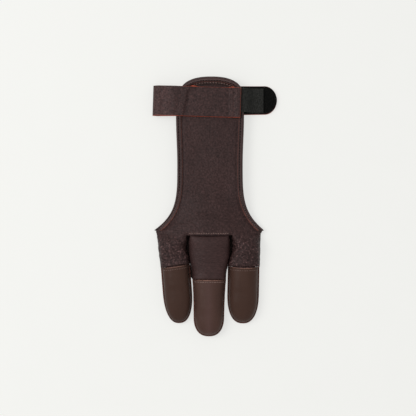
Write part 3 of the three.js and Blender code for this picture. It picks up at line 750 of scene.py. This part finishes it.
def panel_grid():
    lower = np.concatenate([back_points(f, -finger_depths(f)) for f in FINGERS], axis=1)
    heights = np.concatenate([np.linspace(0, FLARE_END, FLARE_ROWS, endpoint=False),
                              np.linspace(FLARE_END, SHOULDER, STRIP_ROWS)])
    upper = np.concatenate([back_points(f, heights) for f in FINGERS], axis=1)
    arch = wrist_rows(upper[-1], ARCH_ROWS)
    return np.concatenate([lower, upper, arch]), len(lower)


def leather_folds(grid):
    """Relief of the soft back: shallow waves, creases by the crotches and across the fingers."""
    x, y = grid[..., 0], grid[..., 1]
    relief = ripple(grid, 13, 0.30, 3.1) + ripple(grid, 5.0, 0.12, 9.7)
    fingers = smooth(6, -10, y)
    relief = relief + fingers * ripple(grid, 4.2, 0.45, 5.5, (0.55, 1.25, 1))
    for centre_x in (FINGERS[0]["root_x"] + 9, FINGERS[2]["root_x"] - 9):
        ring = np.hypot((x - centre_x) * 0.8, y + 2)
        relief = relief + bell(ring, 7, 7) * 0.28 * np.sin(ring * 1.5 + 0.25 * x)
    return relief


def make_back_panel():
    grid, hem_row = panel_grid()
    edge = np.minimum(1, np.abs(strip_half(grid[..., 1]) - np.abs(grid[..., 0])) / 6)
    calm = np.where(grid[..., 1] > 2, np.clip(edge, 0.1, 1), 1)
    inner = push(grid, -BACK_LEATHER)
    pressed = -0.3 * bell(edge_distance(grid[..., 0], grid[..., 1]), BINDING_WIDTH + 0.9, 0.6)
    grid = push(grid, leather_folds(grid) * calm + pressed)
    rows, columns = grid.shape[:2]
    keep = np.ones((rows - 1, columns - 1), bool)
    hem = hem_row - int(round(HEM_DROP / (FINGERS[0]["mouth"] / FINGER_ROWS)))
    keep[:hem, STATION_COUNT - 1:2 * STATION_COUNT] = False
    # The band under the wrist arch takes painted shade
    centre = (grid[:-1, :-1] + grid[1:, 1:]) / 2
    shaded = ((np.abs(centre[..., 1] - SHADED_CENTRE) < SHADED_HALF)
              & (np.abs(centre[..., 0]) < SHADED_REACH))
    panel = sheet_mesh("back_panel_leather", grid, inner, [PEBBLED, FLESH, DIM_RAW, PAINTED_SHADE_PANEL],
                       keep, darkened=shaded)
    dress(panel, "pebbled_leather", "back_panel")
    return grid, hem_row


PANEL, HEM_ROW = make_back_panel()


# Middle finger's back, tucked under the panel's hem and into its stall
def make_middle_back():
    finger = FINGERS[1]
    low = -finger_depths(finger, 60)
    low = low[low < -HEM_DROP - 1.2]
    heights = np.concatenate([low, np.linspace(-HEM_DROP - 1.0, 0, 9),
                              np.linspace(0, HEM_OVERLAP, 5)[1:]])
    face = back_points(finger, heights)
    drop = (BACK_LEATHER + CLEARANCE) * smooth(-WEB_END * 0.7, 0, heights)
    grid = push(face, -drop[:, None])
    inner = push(grid, -BACK_LEATHER)
    fade = (1 - smooth(-4, 1, heights))[:, None]
    relief = ripple(grid, 9, 0.22, 2.2) + ripple(grid, 3.0, 0.12, 8.8, (0.35, 1.6, 1))
    grid = push(grid, relief * fade)
    grid[..., 2] -= 0.7 * bell(heights, -1.3, 0.7)[:, None]
    # Rows just below the hem take painted shadow, the shadow of the hem's edge
    hem_shadow_rows = np.abs(heights[:-1] + np.diff(heights) / 2 + HEM_DROP + 0.25) < 0.5
    hem_shadow_rows = np.broadcast_to(hem_shadow_rows[:, None], (len(heights) - 1, grid.shape[1] - 1))
    piece = sheet_mesh("middle_finger_leather", grid, inner, [FINE, FLESH, DIM_RAW, PAINTED_SHADE],
                       darkened=hem_shadow_rows)
    dress(piece, "fine_leather", "middle_finger_back")


make_middle_back()


# Palm side, finished plainly
def neighbour_gap(index, depth):
    """Half of what lies free between finger index and the next, less half a slit."""
    if index < 0 or index > 1:
        return 0 * depth
    left, right = (finger_section(f, np.clip(depth, 0, f["mouth"] - 2 * STALL_STEP))
                   for f in FINGERS[index:index + 2])
    free = (right["x"] - right["half"]) - (left["x"] + left["half"])
    return np.maximum(0, free / 2 - PALM_SLIT)


def make_palm():
    shares = np.linspace(-1, 1, 17)
    blocks = []
    for index, finger in enumerate(FINGERS):
        depths = np.concatenate([
            [finger["mouth"] + STALL_OVERLAP, finger["mouth"] - STALL_CLEAR],
            np.linspace(finger["mouth"] - STALL_STEP, PALM_CROTCH, PALM_ROWS),
            [PALM_CROTCH / 2, 0, -PALM_TOP / 2, -PALM_TOP]])
        depth = depths[:, None]
        section = finger_section(finger, np.maximum(0, depth))
        tucked = depth > finger["mouth"] - STALL_STEP + 0.01
        left, right = (neighbour_gap(index - 1, depth), neighbour_gap(index, depth))
        if index == 1:
            left = left * (1 + LEFT_WING_EXTRA * smooth(*LEFT_WING_GROWS, depth))
            left = left * (1 - smooth(*LEFT_WING_FADES, depth))
            right = right * (1 - smooth(*RIGHT_WING_FADES, depth))
        spare = np.where(shares < 0, left, right)
        extra = np.where(tucked, -2 * CLEARANCE, spare) * np.abs(shares)
        offset = shares * (section["half"] + extra)
        x = section["x"] + offset * np.cos(section["turn"])
        y = section["y"] + offset * (np.sin(section["turn"]) + section["slant"])
        y = y + np.maximum(0, -depth)
        blocks.append(stack(x, y, section["palm"] + PALM_LEATHER + 0 * x))
    grid = np.concatenate(blocks, axis=1)
    inner = np.concatenate([push(block, -PALM_LEATHER) for block in blocks], axis=1)
    inner[..., 2] = np.maximum(0, inner[..., 2])
    count = len(shares)
    keep = np.ones((grid.shape[0] - 1, grid.shape[1] - 1), bool)
    keep[:PALM_ROWS + 1, (count - 1, 2 * count - 1)] = False
    # The palm's cut edges take the dark flesh-side material as painted shade for the gaps between
    # the fingers
    palm = sheet_mesh("palm_leather", grid, inner, [FLESH, PALM, FLESH], keep)
    dress(palm, "fine_leather", "palm_panel")


make_palm()


# Stalls: smooth closed ends, sewn flat along their side seams
STALL_ROWS = 40
DOME_CELLS = 44
STALL_ARCH = 20


def stall_width(finger, share):
    for (low, s0, h0), (high, s1, h1) in zip(STALL_PROFILE, STALL_PROFILE[1:]):
        if low <= share <= high:
            t = float(smooth(low, high, share))
            half = lerp(finger["mouth_half"], finger["half"], lerp(s0, s1, t))
            return half, finger["height"] * lerp(h0, h1, t)


def stall_section(finger, spine, direction, height):
    reach = math.hypot(*direction)
    away = np.array(direction) / reach
    low = finger["seam"]
    high = low + SEAM_THICKNESS
    body = reach - SEAM_WIDTH
    hollow = body - STALL_LEATHER
    corner = min(body * 0.25, low * 0.9)

    def at(distance, z):
        return (spine[0] + away[0] * distance, spine[1] + away[1] * distance, z)

    angles = np.linspace(math.pi / 2, 0, STALL_ARCH + 1)
    across, lift = super_cos(angles), super_sin(angles)
    outer = [at(body * a, high + (height - high) * b) for a, b in zip(across, lift)]
    inner = [at(hollow * a, high + (height - STALL_LEATHER - high) * b)
             for a, b in zip(across, lift)]
    bevel = 0.35
    outer += [at(body + 0.35 * SEAM_WIDTH, high + 0.06), at(reach - bevel, high),
              at(reach, high - bevel), at(reach, low + bevel), at(reach - bevel, low),
              at(body, low), at(body - corner * 0.3, low * 0.3), at(body - corner, 0),
              at((body - corner) / 2, 0), at(0, 0)]
    inner += [at(hollow, lerp(high, STALL_LEATHER * 1.2, t)) for t in np.linspace(0.1, 1, 7)]
    inner += [at(hollow - STALL_LEATHER * 0.2, STALL_LEATHER),
              at((hollow - STALL_LEATHER) / 2, STALL_LEATHER), at(0, STALL_LEATHER)]
    return np.array(outer), np.array(inner)


def stall_stations(finger):
    dome = finger["length"] * finger["dome"]
    barrel = finger["length"] - dome
    shares = np.linspace(0, 1, STALL_ROWS, endpoint=False)

    def straight(share, side):
        half, height = stall_width(finger, share)
        pair = stall_section(finger, (0, -share * barrel), (side * half, 0), height)
        for points in pair:
            reach = np.abs(points[:, 0]) / half
            points[:, 1] += side * half * finger["slant"] * (1 - share) * reach
            points[:, 1] -= finger["sag"] * (1 - reach ** 2) * (1 - share) ** 3
        return pair

    made = [straight(share, -1) for share in shares]
    half, height = stall_width(finger, 1)
    for angle in np.linspace(0, math.pi, DOME_CELLS + 1):
        direction = (-super_cos(angle, END_SQUARENESS) * half,
                     -super_sin(angle, END_SQUARENESS) * dome)
        made.append(stall_section(finger, (0, -barrel), direction, height))
    made += [straight(share, 1) for share in shares[::-1]]
    return made


def make_stall(finger, seed):
    made = stall_stations(finger)
    outer = np.array([pair[0] for pair in made])
    inner = np.array([pair[1] for pair in made])
    crown = np.clip((outer[..., 2] - finger["seam"] - SEAM_THICKNESS) / 4, 0, 1)
    mouth = np.clip(-outer[..., 1] / 5, 0.15, 1)
    relief = ripple(outer, 12, 0.28, seed) + ripple(outer, 4, 0.07, seed + 4)
    outer[..., 2] += relief * crown * mouth
    turn = finger["angle"]
    cos, sin = math.cos(turn), math.sin(turn)

    def placed(points):
        x = finger["mouth_x"] + points[..., 0] * cos - points[..., 1] * sin
        y = -finger["mouth"] + points[..., 0] * sin + points[..., 1] * cos
        return stack(x, y, points[..., 2])

    for row in (0, -1):
        outer[row, :STALL_ARCH + 3, 1] -= MOUTH_BEVEL
    outer, inner = placed(outer), placed(inner)
    count, ring = outer.shape[:2]
    vertices = np.concatenate([outer.reshape(-1, 3), inner.reshape(-1, 3)])
    low = count * ring
    faces = []
    slots = []
    raw = range(STALL_ARCH + 2, STALL_ARCH + 5)
    seam_flat = range(STALL_ARCH - 1, STALL_ARCH + 2)
    for a, b, c, d in quads(count, ring, closed=False):
        faces += [(a, b, c, d), (low + a, low + d, low + c, low + b)]
        slots += [2 if a % ring in raw else 4 if a % ring in seam_flat else 0, 1]
    for base in (0, (count - 1) * ring):
        faces += [(a, low + a, low + a + 1, a + 1) for a in range(base, base + ring - 1)]
        slots += [3] * (ring - 1)
    thing = make_object(finger["name"] + "_stall_leather", vertices, faces, slots,
                        [PAINTED_HIGHLIGHT_STALL if finger["name"] == "middle" else STALL, FLESH, DIM_RAW,
                         STALL_RAW, STALL_SEAM], angle=60)
    dress(thing, "stall_leather", finger["name"] + "_stall")
    return outer


STALLS = [make_stall(finger, 1.7 + 6 * i) for i, finger in enumerate(FINGERS)]


# Stitches: short thread capsules along a line of points, all in one mesh
def capsule(start, end, radius, up):
    start, end = np.array(start), np.array(end)
    along = end - start
    length = np.linalg.norm(along)
    along = along / length
    side = np.cross(along, up)
    side /= max(np.linalg.norm(side), 1e-6)
    rise = np.cross(side, along)
    points = []
    for t, k, sink in ((0, 0.45, -0.35), (0.18, 0.95, 0.1), (0.5, 1, 0.25), (0.82, 0.95, 0.1),
                       (1, 0.45, -0.35)):
        centre = start + along * length * t + rise * radius * sink
        for i in range(6):
            angle = math.pi * i / 3
            points.append(centre + radius * k * (side * math.cos(angle) + rise * math.sin(angle)))
    return points, quads(5, 6) + [tuple(range(5, -1, -1)), tuple(range(24, 30))]


def stitch_mesh(name, lines, material, slot, radius=THREAD_RADIUS, pitch=STITCH_PITCH,
                length=STITCH_LENGTH):
    vertices = []
    faces = []
    for line in lines:
        line = np.asarray(line)
        spans = np.linalg.norm(np.diff(line, axis=0), axis=1)
        distance = np.concatenate([[0], np.cumsum(spans)])
        count = max(1, int(distance[-1] / pitch))

        def at(value):
            return np.array([np.interp(value, distance, line[:, k]) for k in range(3)])

        for i in range(count):
            start = (i + 0.5) * distance[-1] / count - length / 2
            start += random.uniform(-STITCH_JITTER, STITCH_JITTER)
            points, rings = capsule(at(start), at(start + length), radius, (0, 0, 1))
            base = len(vertices)
            vertices += points
            faces += [tuple(base + v for v in face) for face in rings]
    dress(make_object(name, vertices, faces, [0] * len(faces), [material], welded=False), slot)


# Binding: a folded strip round the bound edge, puffed between its stitches
def back_normal(x, y):
    step = 0.2
    slope_x = (back_height(x + step, y) - back_height(x - step, y)) / (2 * step)
    slope_y = (back_height(x, y + step) - back_height(x, y - step)) / (2 * step)
    normal = stack(-slope_x, -slope_y, 1 + 0 * slope_x)
    return normal / np.linalg.norm(normal, axis=-1, keepdims=True)


def edge_points(distance, lift):
    """Points a distance in from the bound edge and a lift above the back's outer face."""
    distance = np.zeros(len(EDGE)) + distance
    held = np.maximum(0, distance)
    x = EDGE[:, 0] + INWARD[:, 0] * held
    y = np.maximum(FLARE_START, EDGE[:, 1] + INWARD[:, 1] * held)
    normal = back_normal(x, y)
    level = stack(INWARD[:, 0], INWARD[:, 1], 0 * x)
    level = level - normal * np.sum(level * normal, axis=1, keepdims=True)
    level /= np.linalg.norm(level, axis=1, keepdims=True)
    base = stack(x, y, back_height(x, y))
    lift = np.zeros(len(EDGE)) + lift
    return base + level * np.minimum(0, distance)[:, None] + normal * lift[:, None]


def stitch_line():
    """How far in from the bound edge the stitches run: closer on the left than elsewhere."""
    rising = smooth(-ARCH_HALF, -ARCH_HALF * 0.7, EDGE[:, 0] + 40 * (EDGE[:, 1] < SHOULDER))
    left = np.where((EDGE[:, 0] < 0) & (EDGE[:, 1] < SHOULDER), 0, rising)
    right = smooth(ARCH_HALF * 0.6, ARCH_HALF, EDGE[:, 0])
    return lerp(STITCH_LEFT, STITCH_ARCH, left) + (STITCH_RIGHT - STITCH_ARCH) * right


STITCH_IN = stitch_line()
TRIM_TOP = CLEARANCE + BINDING_LEATHER


def make_binding():
    under = -BACK_LEATHER - 2 * CLEARANCE
    width = BINDING_WIDTH

    def puff(distance):
        inward = distance - STITCH_IN
        return (0.36 * bell(inward, -RIDGE_END, 0.7) + 0.32 * bell(inward, 1.1, 0.65)
                - 0.5 * bell(inward, 0, GROOVE_HALF))

    upper = [(d, TRIM_TOP + puff(d)) for d in np.linspace(width - 0.45, -0.35, 15)]
    outline = [(width, CLEARANCE + 0.35 * BINDING_LEATHER)]
    outline += upper
    turns = [math.radians(a) for a in (62, 40, 15, -15, -40, -62)]
    middle = -BACK_LEATHER / 2
    tall = TRIM_TOP - middle + 0.2
    outline += [(-0.3 - 1.0 * math.cos(a), middle + tall * math.sin(a)) for a in turns]
    outline += [(d, under - BINDING_LEATHER) for d in np.linspace(-0.35, width, 5)]
    outline += [(width, under), (width / 2, under), (-CLEARANCE, under), (-CLEARANCE, CLEARANCE),
                (width / 2, CLEARANCE), (width, CLEARANCE)]
    rings = np.stack([edge_points(d, lift) for d, lift in outline], axis=1)
    rings[:, 1:len(upper) + 2, 2] += ripple(rings, 6, 0.14, 6.4)[:, 1:len(upper) + 2]
    count, ring = rings.shape[:2]
    faces = quads(count, ring)
    slots = []
    for a, b, _, _ in faces:
        s, i = divmod(a, ring)
        out = STITCH_IN[s] - (outline[i][0] + outline[b % ring][0]) / 2
        on_top = 1 <= i < len(upper)
        # Groove faces take painted shade, ridge faces a painted highlight
        groove = on_top and abs(out) < GROOVE_HALF
        ridge = (on_top and GROOVE_HALF < out < RIDGE_END
                 and ARCH_PART.start + RIDGE_SHORT < s < ARCH_PART.stop - RIDGE_SHORT)
        slots.append(1 if i in (0, ring - 1) else 2 if groove else 3 if ridge else 0)
    faces += [tuple(range(ring)), tuple(range((count - 1) * ring, count * ring))]
    slots += [1, 1]
    thing = make_object("binding_leather", rings.reshape(-1, 3), faces, slots,
                        [TRIM, DIM_RAW, PAINTED_SHADE, PAINTED_HIGHLIGHT_TRIM])
    dress(thing, "pebbled_leather", "panel_binding")


make_binding()
stitch_mesh("binding_stitches", [edge_points(STITCH_IN, TRIM_TOP - 0.42)], THREAD,
            "pebbled_leather")
arch_row = edge_points(BINDING_WIDTH + 0.7, 0.2)[ARCH_PART]
stitch_mesh("wrist_arch_stitches", [arch_row], PALE_THREAD, "pebbled_leather", radius=0.36)
flare_row = edge_points(STITCH_IN + 0.1, TRIM_TOP - 0.2)
stitch_mesh("flare_stitches", [flare_row[FLARE_STITCHED], flare_row[::-1][FLARE_STITCHED][::-1]],
            PALE_THREAD, "pebbled_leather", radius=0.2, pitch=1.7, length=1.2)


# Hem over the middle finger, with its stitch row
def hem_line():
    columns = slice(STATION_COUNT + 1, 2 * STATION_COUNT - 4)
    row = lerp(PANEL[HEM_ROW, columns], PANEL[HEM_ROW + 1, columns], 0.5)
    row[:, 2] += 0.1
    return row


stitch_mesh("hem_stitches", [hem_line()], PALE_THREAD, "pebbled_leather", radius=0.32,
            pitch=2.0, length=1.4)


def stall_stitches(stall, below):
    """Points across a stall at a distance below its mouth, just above its leather."""
    sides = []
    for rows in (stall[:8], stall[:-9:-1]):
        fall = np.linalg.norm(rows[:, 0] - rows[0, 0], axis=-1) + MOUTH_BEVEL
        row = int(np.argmax(fall > below))
        share = (below - fall[row - 1]) / (fall[row] - fall[row - 1])
        sides.append(lerp(rows[row - 1], rows[row], share)[:STALL_ARCH - 1])
    line = np.concatenate([sides[0][:0:-1], sides[1]])
    line[:, 2] += 0.03
    return line


stitch_mesh("stall_stitches", [stall_stitches(STALLS[i], 2.2) for i in (0, 2)], PALE_THREAD,
            "stall_leather", radius=0.14, pitch=1.9, length=1.5)
stitch_mesh("middle_stall_stitches", [stall_stitches(STALLS[1], 1.9)], PALE_THREAD,
            "stall_leather", radius=0.3, pitch=1.9, length=1.75)


# Heights of what the strap and webbing lie on
def covered_height(x, y):
    x, y = np.broadcast_arrays(np.asarray(x, float), np.asarray(y, float))
    inside = (np.abs(x) < PANEL_HALF) & (y < SHOULDER + ARCH_RISE)
    lap = 1 - smooth(BINDING_WIDTH + 2 * CLEARANCE, BINDING_WIDTH + DRAPE_RUN,
                     edge_distance(x, y))
    hump = np.where(inside, lap, 1)
    held = np.clip(x, -PANEL_HALF - WRIST_SPREAD, PANEL_HALF + WRIST_SPREAD)
    return back_height(held, y) + DRAPE_SLACK + (CLEARANCE + BINDING_LEATHER) * hump


def front_y(x):
    return STRAP_CENTRE - STRAP_TILT * (x + STRAP_FOLD)


def back_y(x):
    return STRAP_CENTRE + TAB_RISE * np.clip((x - FOLD_X) / (ROUND_START - FOLD_X), 0, 1)


LATERAL = np.linspace(-1, 1, 25)


def make_strap():
    front_end = -STRAP_FOLD + STRAP_FRONT
    x = np.linspace(front_end, FOLD_X, STRAP_FRONT_ROWS)[:, None]
    y = front_y(x)
    across = y + LATERAL * STRAP_WIDTH / 2
    wide_x = np.broadcast_to(x, across.shape)
    lap = smooth(WEBBING_START - DRAPE_RUN, WEBBING_START - CLEARANCE, wide_x)
    over = (covered_height(wide_x, across) + CLEARANCE + DRAPE_SLACK + STRAP_LEATHER
            + (WEBBING_THICKNESS + CLEARANCE) * lap)
    settle = smooth(-PANEL_HALF - 2 * BINDING_REACH - WRIST_SPREAD, FOLD_X, wide_x)
    front = stack(wide_x + STRAP_TILT * (across - y), across,
                  lerp(over, STRAP_FOLD_HEIGHT, settle))
    angle = np.linspace(0, math.pi, STRAP_FOLD_ROWS + 1)[1:, None]
    share = angle / math.pi
    offset = LATERAL * STRAP_WIDTH / 2
    fold_y = lerp(front_y(FOLD_X), STRAP_CENTRE, share) + offset
    lean = STRAP_TILT * (1 - smooth(0.5, 1, share))
    fold = stack(FOLD_X - FOLD_RADIUS * np.sin(angle) + lean * offset, fold_y,
                 FOLD_RADIUS + FOLD_RADIUS * np.cos(angle) + 0 * offset)
    run = np.linspace(0, 1, STRAP_BACK_ROWS + 1)[1:, None]
    width = lerp(STRAP_WIDTH, TAB_WIDTH, smooth(0.4, 1, run))
    back_x = lerp(FOLD_X, ROUND_START, run)
    back = stack(back_x + 0 * offset, back_y(back_x) + LATERAL * width / 2, 0 * offset * run)
    turn = np.linspace(0, math.pi / 2, TAB_ROWS + 1)[1:, None]
    tab = stack(ROUND_START + TAB_ROUND * np.sin(turn) + 0 * offset,
                STRAP_CENTRE + TAB_RISE + LATERAL * TAB_WIDTH / 2 * np.cos(turn),
                0 * offset * turn)
    grid = np.concatenate([front, fold, back, tab])
    inner = push(grid, -STRAP_LEATHER)
    inner[-1, :, :2] = grid[-1, :, :2]
    inner[-1, :, 2] = STRAP_LEATHER
    rows = len(front)
    relief = np.zeros(grid.shape[:2])
    left = smooth(*STRAP_COARSE, front[..., 0])
    pieces = ripple(front, 9, 0.18, 7.7) + left * ripple(front, 2.6, 0.30, 1.3, (0.5, 1.5, 1))
    pieces += left * ripple(front, 5.5, 0.35, 4.9, (1.6, 0.7, 1))
    edge = np.clip((1 - np.abs(LATERAL)) * 6, 0.15, 1)
    relief[:rows] = pieces * edge
    grid = push(grid, relief)
    bare = smooth(*STRAP_BARE, grid[:, 0, 0])
    front_part = np.arange(len(grid)) < rows + STRAP_FOLD_ROWS // 2
    low_bevel = np.where(front_part, STRAP_BEVEL, 0.0)
    top_bevel = np.where(front_part, lerp(STRAP_TOP_BEVEL, STRAP_BEVEL, bare), 0.0)
    inner[rows + STRAP_FOLD_ROWS:, 0, 1] += CLEARANCE
    inner[rows + STRAP_FOLD_ROWS:, -1, 1] -= CLEARANCE
    strap = sheet_mesh("strap_leather", grid, inner, [STRAP_FACE, FLESH, RAW],
                       bevels=(STRAP_END_BEVEL, 0, low_bevel, top_bevel))
    dress(strap, "pebbled_leather", "wrist_strap")
    return grid


STRAP = make_strap()


def strap_end_stitches():
    middle = STRAP[:STRAP_FRONT_ROWS, len(LATERAL) // 2, 0]
    return [STRAP[np.argmin(np.abs(middle - x)), 2:-2] for x in STRAP_STITCHES]


stitch_mesh("strap_stitches", strap_end_stitches(), THREAD, "pebbled_leather", radius=0.19)


# Patch with its fuzz of small loops
PATCH_TOP = STRAP_LEATHER + CLEARANCE + PATCH_THICKNESS


def patch_outline_half(x):
    half = TAB_WIDTH / 2 - PATCH_MARGIN
    reach = TAB_ROUND - PATCH_MARGIN
    share = np.clip((x - ROUND_START) / reach, 0, 1)
    return half * np.sqrt(1 - share ** 2)


def make_patch():
    end = TAB_END - PATCH_MARGIN
    turn = np.linspace(0, math.pi / 2, 26)
    x = np.concatenate([np.linspace(PATCH_START, ROUND_START, 30)[:-1],
                        ROUND_START + (end - ROUND_START) * np.sin(turn)])[:, None]
    lateral = np.linspace(1, -1, 25)
    y = back_y(x) + lateral * patch_outline_half(x)
    grid = stack(x, y, PATCH_TOP)
    inner = grid.copy()
    inner[..., 2] -= PATCH_THICKNESS
    grid[..., 2] += np.abs(ripple(grid, 0.9, 0.5, 2.0)) - 0.1
    dress(sheet_mesh("patch_felt", grid, inner, [FUZZ] * 3), "hook_and_loop", "closure_patch")


make_patch()


def make_loops():
    vertices = []
    faces = []
    while len(faces) < LOOP_COUNT * 9:
        x = random.uniform(PATCH_START + 2, TAB_END - PATCH_MARGIN - 0.2)
        half = float(patch_outline_half(x)) - LOOP_ROOT
        y = random.uniform(-half, half)
        middle = float(back_y(x))
        if x < WEBBING_END and abs(middle + y - WEBBING_CENTRE) < WEBBING_WIDTH / 2 + 0.2:
            continue
        turn = random.uniform(0, math.pi)
        span = random.uniform(*LOOP_SPAN)
        tall = random.uniform(*LOOP_RISE)
        way = np.array([math.cos(turn), math.sin(turn), 0])
        side = np.array([-way[1], way[0], 0])
        base = np.array([x, middle + y, PATCH_TOP - LOOP_ROOT])
        path = [base - way * span, base - way * span * 0.7 + (0, 0, tall * 0.8),
                base + way * span * 0.7 + (0, 0, tall), base + way * span]
        start = len(vertices)
        for p in path:
            vertices += [p + side * LOOP_THREAD, p + (0, 0, 0.1), p - side * LOOP_THREAD]
        faces += quads(4, 3, start)
    thing = make_object("patch_loops", vertices, faces, [0] * len(faces), [FUZZ], welded=False)
    dress(thing, "hook_and_loop")


make_loops()


# Elastic webbing: ribs run across it, and it drops from the panel's edge to the patch
def make_webbing():
    landing = PATCH_TOP + CLEARANCE + WEBBING_THICKNESS
    edge_out = PANEL_HALF + WRIST_SPREAD + BINDING_REACH
    x = np.linspace(WEBBING_START, WEBBING_END, 90)[:, None]
    lateral = np.linspace(1, -1, 121)
    y = WEBBING_CENTRE + lateral * WEBBING_WIDTH / 2
    wide_x, wide_y = np.broadcast_arrays(x, y)
    held = np.minimum(wide_x, PANEL_HALF + WRIST_SPREAD)
    high = covered_height(held, wide_y) + CLEARANCE + WEBBING_THICKNESS
    z = lerp(high, landing, smooth(edge_out - CLEARANCE, edge_out + WEBBING_DROP, wide_x))
    grid = stack(wide_x, wide_y, z)
    inner = push(grid, -WEBBING_THICKNESS)
    ribs = 0.13 * np.cos(2 * math.pi * (wide_x - WEBBING_START) / RIB_PITCH)
    ribs = ribs * np.clip((1 - np.abs(lateral)) * 12, 0, 1)
    picks = 0.04 * np.cos(2 * math.pi * wide_y / PICK_PITCH)
    grid = push(grid, ribs + picks - 0.1)
    webbing = sheet_mesh("webbing_ribbed", grid, inner, [WEBBING] * 3)
    dress(webbing, "elastic_webbing", "closure_webbing")


make_webbing()


# Floor, light and camera
def make_floor():
    look = Look("floor")
    grain = look.noise(30, 2)
    look.finish(look.ramp(grain, FLOOR_TONES), look.grey(grain, 0.9, 0.95),
                look.bump(grain, 0.00001), 0.1)
    look.shader.inputs["Emission Color"].default_value = WARM_WHITE
    look.shader.inputs["Emission Strength"].default_value = FLOOR_GLOW
    mesh = bpy.data.meshes.new("floor")
    corners = ((-1, -1), (1, -1), (1, 1), (-1, 1))
    mesh.from_pydata([(x * FLOOR_HALF, y * FLOOR_HALF, 0) for x, y in corners], [],
                     [(0, 1, 2, 3)])
    mesh.materials.append(look.material)
    floor = bpy.data.objects.new("floor", mesh)
    floor.location.z = -FLOOR_DROP
    bpy.context.scene.collection.objects.link(floor)


def area_light(name, place, size, power):
    data = bpy.data.lights.new(name, "AREA")
    data.shape = "DISK"
    data.size = size
    data.energy = power
    lamp = bpy.data.objects.new(name, data)
    lamp.location = place
    lamp.rotation_euler = (-Vector(place)).to_track_quat("-Z", "Y").to_euler()
    bpy.context.scene.collection.objects.link(lamp)


def make_camera():
    data = bpy.data.cameras.new("camera")
    data.lens = LENS
    data.sensor_width = SENSOR
    view = PIXEL * PHOTO_SIZE * MM
    distance = view * LENS / SENSOR
    camera = bpy.data.objects.new("camera", data)
    middle_x = (PHOTO_SIZE / 2 - AXIS_PIXEL[0]) * PIXEL + ORIGIN_X
    middle_y = (AXIS_PIXEL[1] - PHOTO_SIZE / 2) * PIXEL + ORIGIN_Y
    camera.location = (middle_x * MM, middle_y * MM, distance + CAMERA_LIFT)
    bpy.context.scene.collection.objects.link(camera)
    bpy.context.scene.camera = camera


make_floor()
make_camera()
area_light("key", (-0.8, 0.2, 1.05), size=0.7, power=7.6)
area_light("fill", (0.1, -0.1, 1.6), size=0.9, power=1.5)
world = bpy.data.worlds.new("studio")
world.use_nodes = True
world.node_tree.nodes["Background"].inputs["Color"].default_value = WARM_WHITE
world.node_tree.nodes["Background"].inputs["Strength"].default_value = WORLD_STRENGTH
bpy.context.scene.world = world
bpy.context.scene.view_settings.view_transform = "Standard"
